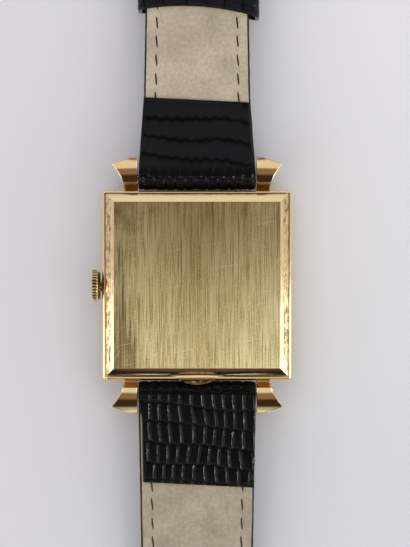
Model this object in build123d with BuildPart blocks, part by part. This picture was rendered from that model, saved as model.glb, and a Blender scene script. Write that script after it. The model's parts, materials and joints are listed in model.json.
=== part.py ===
from build123d import *
from math import atan2, cos, degrees, hypot, pi, radians, sin, sqrt, tan
import os

# A square dress watch on a leather strap, lying on its crystal with the strap open.
# The origin is the middle of the crystal's flat face. +Z runs through the watch to its back,
# +Y points to twelve o'clock and -X to the crown. All sizes are in millimetres.

os.makedirs("parts", exist_ok=True)

# Clearances that pieces share
fit_gap = 0.02  # between pieces that are pressed or snapped together
running_gap = 0.04  # between a shaft and its hole, all round
part_gap = 0.1  # between pieces that only stand near each other
overrun = 1.0  # how far a cut runs past what it cuts

# Case: crystal, bezel, band and back
case_taper = 0.3  # how much each side draws in towards the back
case_corner = 0.5
band_wall = 1.55
ring_wall = 1.25  # of the movement ring, where the round movement comes nearest the band
crystal_flat_inset = 4.2  # from the band's widest edge to the flat face that the watch lies on
crystal_rise = 0.95  # how far the crystal stands proud of the bezel
crystal_wall = 0.85
crystal_inset = 2.92  # from the band's widest edge to the crystal's edge
crystal_seat_depth = 0.8
bezel_inset = 0.3
bezel_height = 1.25
bezel_edge = 0.4  # straight outer edge, below the sloping face
bezel_lip = 0.5  # ledge under the crystal
bezel_skirt_wall = 0.4
back_inset = 0.75  # from the band's widest edge to the case back's edge
back_bevel_width = 1.1
back_bevel_height = 0.92
back_bevel_crown = 0.04  # how far the bevel bulges over a flat one
back_edge = 0.4
back_wall = 0.65
back_skirt_wall = 0.45
back_skirt_depth = 0.7
back_lip_width = 5.8  # thumbnail lip at six o'clock
back_lip_reach = 1.1
back_lip_thickness = 0.42
scoop_length = 16.0  # spindle that hollows out the lip, where a nail or a case knife goes in
scoop_radius = 0.95
scoop_depth = 0.25  # into the lip
scoop_out = 0.3  # from the case back's edge to the spindle's axis

# Lugs
lug_gap = 16.0  # between the lugs
lug_length = 4.5  # from the band to the inner corner of the tip
lug_neck = 1.8
lug_tip_width = 3.6
lug_tip_slant = 1.2  # the tip's outer corner lies this much nearer the band
lug_flare_share = 0.3  # where the outer edge bends, as a share of the neck's widening
lug_root_low = 0.35  # above the band's front edge
lug_root_high = 2.6
lug_tip_low = 1.9
lug_tip_high = 4.35
lug_crest_high = 3.9
lug_crest_out = 0.75
lug_hollow_high = 3.65
lug_hollow_out = 2.1  # from the band's widest edge to the lowest point between crest and tip
lug_edge_chamfer = 0.22
lug_end_lean = 0.38  # how far the end face leans in towards the back

# Dial, markers and hands
dial_inset = 0.25
dial_edge_gap = 0.18
dial_thickness = 0.35
dial_centre_hole = 1.35
subdial_radius = 2.9
subdial_depth = 0.1
marker_inset = 1.3  # from the dial's edge to the markers' outer ends
marker_length = 2.4
marker_width = 0.62
marker_height = 0.22
hand_thickness = 0.12
hand_gap = 0.3
hour_hand_length = 5.6
minute_hand_length = 8.4
hand_width = 0.95
hand_tail = 1.7
hand_boss = 0.95
seconds_hand_length = 2.3
seconds_hand_width = 0.22

# Levels of the movement, each a height above the last
motion_space = 0.45
plate_thickness = 0.95
train_space = 1.1
bridge_thickness = 0.55
winding_wheel_thickness = 0.3
wheel_gap = 0.03
screw_head_height = 0.22
back_clearance = 0.2

# Movement plate and bridges
plate_edge = 0.93  # outside the barrel's teeth, where they come nearest the plate's edge
plate_rim_wall = 0.8
plate_edge_gap = 0.05
bridge_edge = 0.12  # the bridges' outline lies this far inside the plate's
bridge_split = 1.0  # the barrel and train bridges part this far below the middle
bridge_gap = 0.24
barrel_floor = 0.25
pillar_radius = 0.95
cock_foot_radius = 1.85
cock_foot_edge = 0.02  # from the foot to the plate's edge
cock_foot_bearing = 22.6
pillar_bearings = (72, 155, 205, 268)
cock_arm_width = 2.3
cock_nose_radius = 1.35
cock_rise = 0.3  # the balance cock's underside above the bridges' underside
pallet_bridge_width = 1.3
pallet_bridge_thickness = 0.18
ring_depth = 2.2
clamp_length = 3.0
clamp_width = 1.4
clamp_thickness = 0.25
screw_radius = 0.55
screw_slot_width = 0.14
screw_slot_depth = 0.1
jewel_radius = 0.48
jewel_hole = 0.14
pivot_radius = 0.1
arbor_radius = 0.16  # of the small train wheels
post_radius = 0.24  # of the centre arbor and of the posts that wheels turn on

# Going train: teeth, leaves and modules, from the barrel to the escape wheel
barrel_teeth = 72
centre_leaves = 9
great_module = 0.12
centre_teeth = 64
third_leaves = 8
centre_module = 0.105
third_teeth = 60
fourth_leaves = 8
third_module = 0.095
fourth_teeth = 60
escape_leaves = 6
fourth_module = 0.085
escape_teeth = 15
escape_radius = 1.7
train_wheel_thickness = 0.12
wheel_rim = 0.42
wheel_spoke = 0.34
wheel_hub = 0.62
barrel_bearing = 105.0  # direction of the barrel from the middle, in degrees
seconds_offset = 5.2  # from the middle to the seconds hand
escape_bearing = -12.0  # direction of the escape wheel from the fourth wheel
balance_bearing = 56.0  # direction of the balance from the escape wheel
pallet_distance = 2.05
balance_distance = 4.2  # from the escape wheel to the balance
barrel_height = 1.0
barrel_rim = 0.28
mainspring_turns = 5
mainspring_leaf = 0.12

# Balance, roller and fork
balance_radius = 3.5
balance_rim = 0.42
balance_thickness = 0.24
balance_arm = 0.4
balance_level = 0.95  # the rim's underside above the plate
roller_radius = 0.62
roller_pin_radius = 0.15
fork_width = 0.34
fork_thickness = 0.1
fork_head = 0.9
pallet_arm_share = 0.62  # of the escape wheel's radius
pallet_spread = 62.0  # between each pallet arm and the line of centres, in degrees
pallet_stone = 0.2
pallet_lock = 0.07  # how far a stone reaches inside the escape wheel's circle
fork_level = 0.5
hairspring_turns = 6
hairspring_inner = 0.42
hairspring_outer = 1.75
hairspring_wire = 0.06
hairspring_height = 0.1

# Motion work under the dial
cannon_leaves = 10
minute_teeth = 30
minute_leaves = 8
hour_teeth = 32
setting_teeth = 18
motion_module = 0.1
motion_thickness = 0.13
hour_pipe_radius = 0.62
hour_pipe_wall = 0.14
cannon_radius = 0.42

# Winding work
stem_rise = 0.3  # the stem's axis above the plate's train side
stem_radius = 0.42
stem_square = 0.56
stem_over = 0.27  # how far the stem passes the sliding pinion
winding_leaves = 13
winding_pinion_length = 0.9
sliding_pinion_radius = 1.05
sliding_pinion_length = 1.2
winding_mesh = 0.08  # how far the winding pinion reaches into the crown wheel
crown_wheel_teeth = 24
ratchet_teeth = 40
winding_module = 0.16
crown_wheel_bearing = -137.0  # direction of the crown wheel from the barrel
click_gaps = -9  # tooth gaps of the ratchet wheel, from the crown wheel to the click's nose
click_reach = 1.3
click_stand = 0.5  # how far the click's pivot stands outside its nose
click_width = 0.7

# Crown
crown_radius = 2.2
crown_length = 1.1
crown_gap = 0.05  # between the crown and the band's widest edge
crown_flutes = 32
crown_flute_depth = 0.16
crown_rim = 0.3  # plain ring next to the band
crown_chamfer = 0.14
crown_recess_radius = 1.1
crown_recess_depth = 0.5
crown_tube_radius = 0.8
crown_travel = 0.8  # how far the crown pulls out

# Spring bars
bar_out = 1.75  # from the band's widest edge to the bar
bar_rise = 2.7  # above the band's front edge
bar_radius = 0.75
bar_wall = 0.22
bar_end_gap = 0.3  # between the tube and the lug
tip_pin_radius = 0.4
tip_pin_reach = 0.7  # into the lug
tip_length = 1.7  # inside the tube
tip_travel = 0.85

# Strap: both pieces
skin = 0.45  # black leather
lining = 0.5
strap_fold = 1.55  # outer radius of the fold round the spring bar
strap_side_gap = 0.08  # between the strap and each lug
strap_width = 14.0
# Twelve o'clock piece, which carries the buckle
short_length = 68.0  # spring bar to buckle pin
short_drop = 1.6
short_fold = 1.15
short_flap = 10.2
short_waist = 10.5  # where the quick narrowing at the lugs ends
short_waist_width = 14.35
buckle_flap = 8.5
# Six o'clock piece, which ends in a point
long_length = 104.0
long_bend = 36.0  # where the strap comes down to the table
long_bend_radius = 260.0
long_thickness = 2.0
long_flap = 12.1
long_taper = 50.0
point_length = 9.0
point_width = 3.2
hole_count = 7
hole_spacing = 6.0
hole_first = 24.0  # from the tip
hole_radius = 0.75

# Keepers
keeper_length = 5.0
keeper_wall = 0.6
keeper_side_gap = 0.5
keeper_top_gap = 0.15
keeper_room = 1.45  # for the end of the other strap piece
free_keeper_at = 22.4  # from the spring bar to the keeper's near edge
fixed_keeper_room = 9.0  # from the fixed keeper to the buckle pin

# Buckle
buckle_side_gap = 0.25  # between the strap and each arm of the buckle
buckle_arm = 1.35
buckle_reach = 8.6  # pin to the outside of the front bar
buckle_front = 2.0
buckle_thickness = 1.5
buckle_bow = 0.55  # how far the front bar lies below the pin
buckle_corner = 2.4
buckle_pin_radius = 0.5
tongue_width = 1.5
tongue_thickness = 0.55
tongue_eye = 1.05
tongue_groove = 0.3
tongue_tip = 0.35  # how far the tongue passes the front bar's middle
strap_slot_width = 2.3
strap_slot_length = 4.5

# Levels, from the crystal's face at zero to the back
bezel_front_z = crystal_rise
band_front_z = bezel_front_z + bezel_height
dial_front_z = band_front_z + dial_inset
dial_back_z = dial_front_z + dial_thickness
plate_dial_z = dial_back_z + motion_space
plate_train_z = plate_dial_z + plate_thickness
bridge_low_z = plate_train_z + train_space
bridge_top_z = bridge_low_z + bridge_thickness
winding_wheel_z = bridge_top_z + wheel_gap
winding_wheel_top_z = winding_wheel_z + winding_wheel_thickness
movement_top_z = winding_wheel_top_z + wheel_gap + screw_head_height
back_inner_z = movement_top_z + back_clearance
back_field_z = back_inner_z + back_wall
back_edge_z = back_field_z - back_bevel_height
band_back_z = back_edge_z - back_edge

def polar(centre, distance, bearing):
    """The point at that distance and bearing, in degrees, from centre."""
    return (
        centre[0] + distance * cos(radians(bearing)),
        centre[1] + distance * sin(radians(bearing)),
    )


def bearing_of(start, end):
    return degrees(atan2(end[1] - start[1], end[0] - start[0]))


def across(centre, bearing):
    """A place in plan, turned to that bearing."""
    return Location((centre[0], centre[1], 0), (0, 0, bearing))


# Places in plan that several pieces share. The barrel sets the movement's size, and that the case's.
middle = (0.0, 0.0)
wheel_addendum_share = 0.75
wheel_dedendum_share = 1.05
barrel_distance = great_module * (barrel_teeth + centre_leaves) / 2
barrel_outer = great_module * (barrel_teeth / 2 + wheel_addendum_share)
plate_radius = barrel_distance + barrel_outer + plate_edge
opening_side = 2 * (plate_radius + ring_wall)
case_side = opening_side + 2 * band_wall
case_half = case_side / 2
crystal_flat = case_side - 2 * crystal_flat_inset
crystal_base = case_side - 2 * crystal_inset
bezel_side = case_side - 2 * bezel_inset
bezel_skirt_side = opening_side - 2 * fit_gap
bezel_skirt_depth = dial_back_z - part_gap - band_front_z
back_side = case_side - 2 * back_inset
back_field_side = back_side - 2 * back_bevel_width  # the flat, brushed field
dial_side = bezel_skirt_side - 2 * (bezel_skirt_wall + dial_edge_gap)
bar_y = case_half + bar_out
bar_z = band_front_z + bar_rise
buckle_inside = strap_width + 2 * buckle_side_gap
stem_z = plate_train_z + stem_rise
barrel_at = polar(middle, barrel_distance, barrel_bearing)
centre_to_third = centre_module * (centre_teeth + third_leaves) / 2
third_to_fourth = third_module * (third_teeth + fourth_leaves) / 2
fourth_to_escape = fourth_module * (fourth_teeth + escape_leaves) / 2
fourth_at = (0.0, -seconds_offset)
# The third wheel lies where its two centre distances meet, on the crown's side.
third_y = -(centre_to_third**2 - third_to_fourth**2 + seconds_offset**2) / (2 * seconds_offset)
third_at = (-sqrt(centre_to_third**2 - third_y**2), third_y)
escape_at = polar(fourth_at, fourth_to_escape, escape_bearing)
pallet_at = polar(escape_at, pallet_distance, balance_bearing)
balance_at = polar(escape_at, balance_distance, balance_bearing)
crown_wheel_at = polar(
    barrel_at, winding_module * (ratchet_teeth + crown_wheel_teeth) / 2, crown_wheel_bearing
)
crown_wheel_radius = winding_module * crown_wheel_teeth / 2
ratchet_radius = winding_module * ratchet_teeth / 2
# The winding pinion stands where the crown wheel's rim crosses the stem.
winding_pinion_x = crown_wheel_at[0] - sqrt(crown_wheel_radius**2 - crown_wheel_at[1] ** 2)
winding_pinion_radius = winding_wheel_z + winding_mesh - stem_z
sliding_pinion_x = winding_pinion_x + winding_pinion_length / 2 + part_gap
minute_distance = motion_module * (cannon_leaves + minute_teeth) / 2
minute_at = (-minute_distance, 0.0)
setting_at = (-minute_distance - motion_module * (minute_teeth + setting_teeth) / 2, 0.0)
bridge_radius = plate_radius - bridge_edge
balance_z = plate_train_z + balance_level
fork_z = plate_train_z + fork_level
cock_low_z = bridge_low_z + cock_rise
cock_top_z = cock_low_z + bridge_thickness


def gear_points(teeth, pitch_radius, addendum, dedendum, tooth_share, tip_share, bearing=0.0):
    """Outline of a toothed wheel, with the middle of a tooth at that bearing."""
    step = 360 / teeth
    points = []
    for tooth in range(teeth):
        at = bearing + tooth * step
        for radius, share in (
            (pitch_radius - dedendum, -tooth_share),
            (pitch_radius + addendum, -tip_share),
            (pitch_radius + addendum, tip_share),
            (pitch_radius - dedendum, tooth_share),
        ):
            points.append(polar(middle, radius, at + share * step / 2))
    return points


wheel_tooth_share = 0.62
wheel_tip_share = 0.14
leaf_tooth_share = 0.46
leaf_tip_share = 0.16


def wheel_points(teeth, module, bearing=0.0):
    return gear_points(
        teeth,
        module * teeth / 2,
        wheel_addendum_share * module,
        wheel_dedendum_share * module,
        wheel_tooth_share,
        wheel_tip_share,
        bearing,
    )


def leaf_points(leaves, module, bearing=0.0):
    return gear_points(
        leaves,
        module * leaves / 2,
        wheel_addendum_share * module,
        wheel_dedendum_share * module,
        leaf_tooth_share,
        leaf_tip_share,
        bearing,
    )


def gap_bearing(teeth, bearing):
    """The bearing of a tooth that leaves a gap facing the given bearing."""
    return bearing + 180 / teeth


# Case band with its four lugs
lug_inner = lug_gap / 2
lug_tip_y = case_half + lug_length
lug_root_y = opening_side / 2 + band_wall / 2  # the lug is rooted in the band's wall
lug_neck_x = lug_inner + lug_neck
lug_tip_x = lug_inner + lug_tip_width
lug_flare_x = lug_neck_x + lug_flare_share * (lug_tip_width - lug_neck)
lug_flare_y = (case_half + lug_tip_y - lug_tip_slant) / 2

with BuildPart() as lug:
    with BuildSketch(Plane.XY.offset(band_front_z)):
        with BuildLine():
            Polyline(
                (lug_neck_x, case_half),
                (lug_neck_x, lug_root_y),
                (lug_inner, lug_root_y),
                (lug_inner, lug_tip_y),
                (lug_tip_x, lug_tip_y - lug_tip_slant),
            )
            ThreePointArc(
                (lug_tip_x, lug_tip_y - lug_tip_slant),
                (lug_flare_x, lug_flare_y),
                (lug_neck_x, case_half),
            )
        make_face()
    extrude(amount=lug_tip_high)
    with BuildSketch(Plane.YZ):
        with BuildLine():
            Polyline(
                (case_half + lug_crest_out, band_front_z + lug_crest_high),
                (case_half, band_front_z + lug_root_high),
                (lug_root_y, band_front_z + lug_root_high),
                (lug_root_y, band_front_z + lug_root_low),
                (case_half, band_front_z + lug_root_low),
            )
            ThreePointArc(
                (case_half, band_front_z + lug_root_low),
                ((case_half + lug_tip_y) / 2, band_front_z + (lug_root_low + lug_tip_low) / 3),
                (lug_tip_y, band_front_z + lug_tip_low),
            )
            Line(
                (lug_tip_y, band_front_z + lug_tip_low),
                (lug_tip_y - lug_end_lean, band_front_z + lug_tip_high),
            )
            ThreePointArc(
                (lug_tip_y - lug_end_lean, band_front_z + lug_tip_high),
                (case_half + lug_hollow_out, band_front_z + lug_hollow_high),
                (case_half + lug_crest_out, band_front_z + lug_crest_high),
            )
        make_face()
    extrude(amount=case_side, both=True, mode=Mode.INTERSECT)
    outer_edges = lug.edges().group_by(Axis.X)[-1]
    chamfer(outer_edges, lug_edge_chamfer)

band_back_side = case_side - 2 * case_taper

with BuildPart() as band:
    with BuildSketch(Plane.XY.offset(band_front_z)):
        RectangleRounded(case_side, case_side, case_corner)
    with BuildSketch(Plane.XY.offset(band_back_z)):
        RectangleRounded(band_back_side, band_back_side, case_corner)
    loft()
    add(lug.part)
    add(mirror(lug.part, about=Plane.YZ))
    mirrored_lugs = mirror(lug.part, about=Plane.XZ)
    add(mirrored_lugs)
    add(mirror(mirrored_lugs, about=Plane.YZ))
    with BuildSketch(Plane.XY.offset(band_front_z)):
        RectangleRounded(opening_side, opening_side, case_corner)
    extrude(amount=band_back_z - band_front_z, mode=Mode.SUBTRACT)
    # Hole for the crown tube
    with BuildSketch(Plane.YZ.offset(-case_half - overrun)):
        with Locations((0, stem_z)):
            Circle(crown_tube_radius + fit_gap)
    extrude(amount=band_wall + 2 * overrun, mode=Mode.SUBTRACT)
    # Blind holes for the spring bar's tips
    for side in (-1, 1):
        with BuildSketch(Plane.YZ.offset(side * (lug_inner - overrun))):
            with Locations((bar_y, bar_z), (-bar_y, bar_z)):
                Circle(tip_pin_radius + running_gap)
        extrude(amount=side * (overrun + tip_pin_reach + part_gap), mode=Mode.SUBTRACT)
band.part.label = "case_band"
export_step(band.part, "parts/case_band.step")

# Crystal: a box crystal with a flat face and sloping sides
with BuildPart() as crystal:
    with BuildSketch():
        RectangleRounded(crystal_flat, crystal_flat, case_corner)
    with BuildSketch(Plane.XY.offset(crystal_rise)):
        RectangleRounded(crystal_base, crystal_base, case_corner)
    loft()
    with BuildSketch(Plane.XY.offset(crystal_rise)):
        RectangleRounded(crystal_base, crystal_base, case_corner)
    extrude(amount=crystal_seat_depth)
    crystal_inner = crystal_base - 2 * crystal_wall
    with BuildSketch(Plane.XY.offset(crystal_wall)):
        RectangleRounded(crystal_flat - crystal_wall, crystal_flat - crystal_wall, case_corner)
    with BuildSketch(Plane.XY.offset(crystal_rise + crystal_seat_depth)):
        RectangleRounded(crystal_inner, crystal_inner, case_corner)
    loft(mode=Mode.SUBTRACT)
crystal.part.label = "crystal"
export_step(crystal.part, "parts/crystal.step")

# Bezel: a sloping frame with the crystal's seat and a skirt that snaps into the band
crystal_seat_side = crystal_base + 2 * fit_gap
bezel_opening = crystal_base - 2 * bezel_lip

with BuildPart() as bezel:
    with BuildSketch(Plane.XY.offset(bezel_front_z)):
        RectangleRounded(crystal_seat_side + bezel_lip, crystal_seat_side + bezel_lip, case_corner)
    with BuildSketch(Plane.XY.offset(band_front_z - bezel_edge)):
        RectangleRounded(bezel_side, bezel_side, case_corner)
    loft()
    with BuildSketch(Plane.XY.offset(band_front_z - bezel_edge)):
        RectangleRounded(bezel_side, bezel_side, case_corner)
    extrude(amount=bezel_edge)
    with BuildSketch(Plane.XY.offset(band_front_z)):
        RectangleRounded(bezel_skirt_side, bezel_skirt_side, case_corner)
    extrude(amount=bezel_skirt_depth)
    bezel_inner = bezel_skirt_side - 2 * bezel_skirt_wall
    with BuildSketch(Plane.XY.offset(dial_front_z)):
        RectangleRounded(bezel_inner, bezel_inner, case_corner)
    extrude(amount=bezel_skirt_depth + overrun, mode=Mode.SUBTRACT)
    with BuildSketch():
        RectangleRounded(bezel_opening, bezel_opening, case_corner)
    extrude(amount=dial_front_z + overrun, mode=Mode.SUBTRACT)
    with BuildSketch():
        RectangleRounded(crystal_seat_side, crystal_seat_side, case_corner)
    extrude(amount=crystal_rise + crystal_seat_depth, mode=Mode.SUBTRACT)
bezel.part.label = "bezel"
export_step(bezel.part, "parts/bezel.step")

# Case back: a bevelled plate with a flat field, a snap skirt and a thumbnail lip
back_skirt_side = opening_side - 2 * fit_gap
back_pocket = back_skirt_side - 2 * back_skirt_wall
lip_y = back_side / 2 + back_lip_reach
lip_top_z = band_back_z + back_lip_thickness

back_bevel_slope = hypot(back_bevel_width, back_bevel_height)
back_bevel_x = (back_side + back_field_side) / 4 + back_bevel_crown * back_bevel_height / back_bevel_slope
back_bevel_z = (back_edge_z + back_field_z) / 2 + back_bevel_crown * back_bevel_width / back_bevel_slope

# The plate seen from one side: a straight edge, a slightly bulging bevel and the flat field
with BuildSketch() as back_profile:
    with BuildLine():
        Polyline(
            (back_field_side / 2, back_field_z),
            (-back_field_side / 2, back_field_z),
        )
        ThreePointArc(
            (-back_field_side / 2, back_field_z),
            (-back_bevel_x, back_bevel_z),
            (-back_side / 2, back_edge_z),
        )
        Polyline(
            (-back_side / 2, back_edge_z),
            (-back_side / 2, band_back_z),
            (back_side / 2, band_back_z),
            (back_side / 2, back_edge_z),
        )
        ThreePointArc(
            (back_side / 2, back_edge_z),
            (back_bevel_x, back_bevel_z),
            (back_field_side / 2, back_field_z),
        )
    make_face()

with BuildPart() as scoop:
    with BuildSketch():
        with BuildLine():
            ThreePointArc((-scoop_length / 2, 0), (0, scoop_radius), (scoop_length / 2, 0))
            Line((scoop_length / 2, 0), (-scoop_length / 2, 0))
        make_face()
    revolve(axis=Axis.X)

with BuildPart() as back:
    # The same profile both ways, so that the bevels meet in mitres
    with BuildSketch(Plane.YZ):
        add(back_profile.sketch_local)
    extrude(amount=back_side, both=True)
    with BuildSketch(Plane.XZ):
        add(back_profile.sketch_local)
    extrude(amount=back_side, both=True, mode=Mode.INTERSECT)
    with BuildSketch(Plane.XY.offset(band_back_z)):
        with BuildLine():
            ThreePointArc(
                (-back_lip_width / 2, -back_side / 2), (0, -lip_y), (back_lip_width / 2, -back_side / 2)
            )
            Line((back_lip_width / 2, -back_side / 2), (-back_lip_width / 2, -back_side / 2))
        make_face()
    extrude(amount=back_lip_thickness)
    with BuildSketch(Plane.XY.offset(band_back_z - back_skirt_depth)):
        RectangleRounded(back_skirt_side, back_skirt_side, case_corner)
    extrude(amount=back_skirt_depth)
    with BuildSketch(Plane.XY.offset(band_back_z - back_skirt_depth)):
        RectangleRounded(back_pocket, back_pocket, case_corner)
    extrude(amount=back_inner_z - band_back_z + back_skirt_depth, mode=Mode.SUBTRACT)
    with Locations((0, -back_side / 2 - scoop_out, lip_top_z + scoop_radius - scoop_depth)):
        add(scoop.part, mode=Mode.SUBTRACT)
back.part.label = "caseback"
export_step(back.part, "parts/caseback.step")

# Ring that carries the round movement in the square case
ring_low_z = dial_back_z + fit_gap
ring_high_z = band_back_z - back_skirt_depth - part_gap

with BuildPart() as ring:
    with BuildSketch(Plane.XY.offset(ring_low_z)):
        RectangleRounded(bezel_skirt_side, bezel_skirt_side, case_corner)
        Circle(plate_radius + plate_edge_gap, mode=Mode.SUBTRACT)
    extrude(amount=ring_high_z - ring_low_z)
    with BuildSketch(Plane.XY.offset(ring_low_z)):
        with Locations((-opening_side / 2, 0)):
            Rectangle(2 * band_wall + 2 * overrun, 2 * crown_tube_radius + 2 * part_gap)
    extrude(amount=ring_high_z - ring_low_z, mode=Mode.SUBTRACT)
ring.part.label = "movement_ring"
export_step(ring.part, "parts/movement_ring.step")

# Main plate: a disc with a rim on the dial side, a well for the barrel and pillars for the bridges
pillar_places = [
    polar(middle, bridge_radius - pillar_radius, bearing) for bearing in pillar_bearings
]
stem_slot_width = 2 * winding_pinion_radius + 2 * part_gap
stem_slot_end = sliding_pinion_x + sliding_pinion_length + crown_travel

with BuildPart() as plate:
    with BuildSketch(Plane.XY.offset(dial_back_z)):
        Circle(plate_radius)
        Circle(plate_radius - plate_rim_wall, mode=Mode.SUBTRACT)
    extrude(amount=motion_space)
    with BuildSketch(Plane.XY.offset(plate_dial_z)):
        Circle(plate_radius)
    extrude(amount=plate_thickness)
    with BuildSketch(Plane.XY.offset(plate_train_z)):
        with Locations(*pillar_places):
            Circle(pillar_radius)
    extrude(amount=train_space)
    # Well for the barrel
    with BuildSketch(Plane.XY.offset(plate_dial_z + barrel_floor)):
        with Locations(barrel_at):
            Circle(barrel_outer + part_gap)
        Circle(great_module * centre_leaves / 2 + 2 * part_gap)
    extrude(amount=plate_thickness, mode=Mode.SUBTRACT)
    # Holes for the arbors that pass through the plate
    with BuildSketch(Plane.XY.offset(dial_back_z)):
        Circle(hour_pipe_radius)
        with Locations(minute_at, setting_at):
            Circle(post_radius + running_gap)
        with Locations(barrel_at, third_at, fourth_at, escape_at, pallet_at, balance_at):
            Circle(jewel_hole)
    extrude(amount=motion_space + plate_thickness, mode=Mode.SUBTRACT)
    # Slot for the stem and its pinions, open at the edge
    with BuildSketch(Plane.XY.offset(dial_back_z)):
        with Locations(((stem_slot_end - plate_radius - overrun) / 2, 0)):
            Rectangle(plate_radius + overrun + stem_slot_end, stem_slot_width)
    extrude(amount=motion_space + plate_thickness, mode=Mode.SUBTRACT)
plate.part.label = "mainplate"
export_step(plate.part, "parts/mainplate.step")


def arbor_solid(centre, low_z, high_z, shoulder_low, shoulder_high):
    """A steel arbor with a thinner pivot at each end."""
    with BuildPart() as arbor:
        with BuildSketch(Plane.XY.offset(shoulder_low)):
            with Locations(centre):
                Circle(arbor_radius)
        extrude(amount=shoulder_high - shoulder_low)
        with BuildSketch(Plane.XY.offset(low_z)):
            with Locations(centre):
                Circle(pivot_radius)
        extrude(amount=high_z - low_z)
    return arbor.part


def spoked_wheel(centre, low_z, thickness, points, root_radius, hub, spokes):
    """A toothed wheel with a rim, spokes and a hub, on an arbor's hole."""
    with BuildPart() as wheel:
        with BuildSketch(Plane.XY.offset(low_z)):
            with Locations(centre):
                Polygon(*points, align=None)
        extrude(amount=thickness)
        with BuildSketch(Plane.XY.offset(low_z)):
            with Locations(centre):
                Circle(root_radius - wheel_rim)
                Circle(hub, mode=Mode.SUBTRACT)
            with Locations(centre):
                with PolarLocations(0, spokes):
                    with Locations((root_radius / 2, 0)):
                        Rectangle(root_radius, wheel_spoke, mode=Mode.SUBTRACT)
        extrude(amount=thickness, mode=Mode.SUBTRACT)
    return wheel.part


def pinion_solid(centre, low_z, height, points):
    with BuildPart() as pinion:
        with BuildSketch(Plane.XY.offset(low_z)):
            with Locations(centre):
                Polygon(*points, align=None)
        extrude(amount=height)
    return pinion.part


def root_of(teeth, module):
    return module * (teeth / 2 - wheel_dedendum_share)


jewel_top_z = bridge_top_z - part_gap
barrel_low_z = plate_dial_z + barrel_floor + wheel_gap
barrel_top_z = barrel_low_z + barrel_height
great_teeth_z = barrel_top_z - barrel_rim
centre_wheel_z = barrel_top_z + part_gap
fourth_wheel_z = plate_train_z + train_space / 7
third_wheel_z = bridge_low_z - part_gap - 2 * train_wheel_thickness
third_bearing = bearing_of(middle, third_at)
fourth_bearing = bearing_of(third_at, fourth_at)

# Barrel: a toothed drum with its lid, and the mainspring coiled inside
drum_radius = root_of(barrel_teeth, great_module) - wheel_gap
barrel_arbor_radius = 3 * post_radius
with BuildPart() as barrel:
    with BuildSketch(Plane.XY.offset(barrel_low_z)):
        with Locations(barrel_at):
            Circle(drum_radius)
    extrude(amount=barrel_height)
    with BuildSketch(Plane.XY.offset(great_teeth_z)):
        with Locations(barrel_at):
            Polygon(*wheel_points(barrel_teeth, great_module, barrel_bearing + 180), align=None)
    extrude(amount=barrel_rim)
    with BuildSketch(Plane.XY.offset(barrel_low_z + mainspring_leaf)):
        with Locations(barrel_at):
            Circle(drum_radius - 2 * mainspring_leaf)
    extrude(amount=barrel_height - 2 * mainspring_leaf, mode=Mode.SUBTRACT)
    with BuildSketch(Plane.XY.offset(barrel_low_z)):
        with Locations(barrel_at):
            Circle(barrel_arbor_radius / 2 + running_gap)
    extrude(amount=barrel_height, mode=Mode.SUBTRACT)
barrel.part.label = "barrel"
export_step(barrel.part, "parts/barrel.step")

spring_inner = barrel_arbor_radius / 2 + 2 * part_gap
spring_pitch = (drum_radius - 3 * mainspring_leaf - spring_inner) / mainspring_turns


def spiral_band(centre, inner, pitch, turns, leaf, steps_per_turn):
    """Outline of a flat spiral spring, out along one side and back along the other."""
    count = int(turns * steps_per_turn) + 1
    angles = [step * 360 / steps_per_turn for step in range(count)]
    out = [polar(centre, inner + pitch * angle / 360, angle) for angle in angles]
    back_in = [
        polar(centre, inner + leaf + pitch * angle / 360, angle) for angle in reversed(angles)
    ]
    return out + back_in


with BuildPart() as mainspring:
    with BuildSketch(Plane.XY.offset(barrel_low_z + mainspring_leaf + part_gap / 2)):
        Polygon(
            *spiral_band(barrel_at, spring_inner, spring_pitch, mainspring_turns, mainspring_leaf, 14),
            align=None,
        )
    extrude(amount=barrel_height - 2 * mainspring_leaf - part_gap)
mainspring.part.label = "mainspring"
export_step(mainspring.part, "parts/mainspring.step")

# Ratchet wheel on the barrel's arbor, held by its screw
ratchet_mesh = bearing_of(barrel_at, crown_wheel_at)
with BuildPart() as ratchet:
    with BuildSketch(Plane.XY.offset(winding_wheel_z)):
        with Locations(barrel_at):
            Polygon(*wheel_points(ratchet_teeth, winding_module, ratchet_mesh), align=None)
            Rectangle(barrel_arbor_radius, barrel_arbor_radius, mode=Mode.SUBTRACT)
    extrude(amount=winding_wheel_thickness)
    chamfer(ratchet.faces().sort_by(Axis.Z)[-1].inner_wires().edges(), wheel_gap)
ratchet.part.label = "ratchet_wheel"
export_step(ratchet.part, "parts/ratchet_wheel.step")

with BuildPart() as barrel_arbor:
    with BuildSketch(Plane.XY.offset(barrel_low_z)):
        with Locations(barrel_at):
            Circle(barrel_arbor_radius / 2)
    extrude(amount=winding_wheel_z - barrel_low_z)
    square_side = barrel_arbor_radius - 2 * fit_gap
    with BuildSketch(Plane.XY.offset(winding_wheel_z)):
        with Locations(barrel_at):
            Circle(square_side / 2)
    extrude(amount=winding_wheel_thickness)
    with BuildSketch(Plane.XY.offset(winding_wheel_top_z)):
        with Locations(barrel_at):
            Circle(2 * screw_radius)
    extrude(amount=screw_head_height)
    with BuildSketch(Plane.XY.offset(winding_wheel_top_z + screw_head_height - screw_slot_depth)):
        with Locations(barrel_at):
            Rectangle(4 * screw_radius, screw_slot_width)
    extrude(amount=screw_slot_depth, mode=Mode.SUBTRACT)
barrel_arbor.part.label = "barrel_arbor"
export_step(barrel_arbor.part, "parts/barrel_arbor.step")

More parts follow.
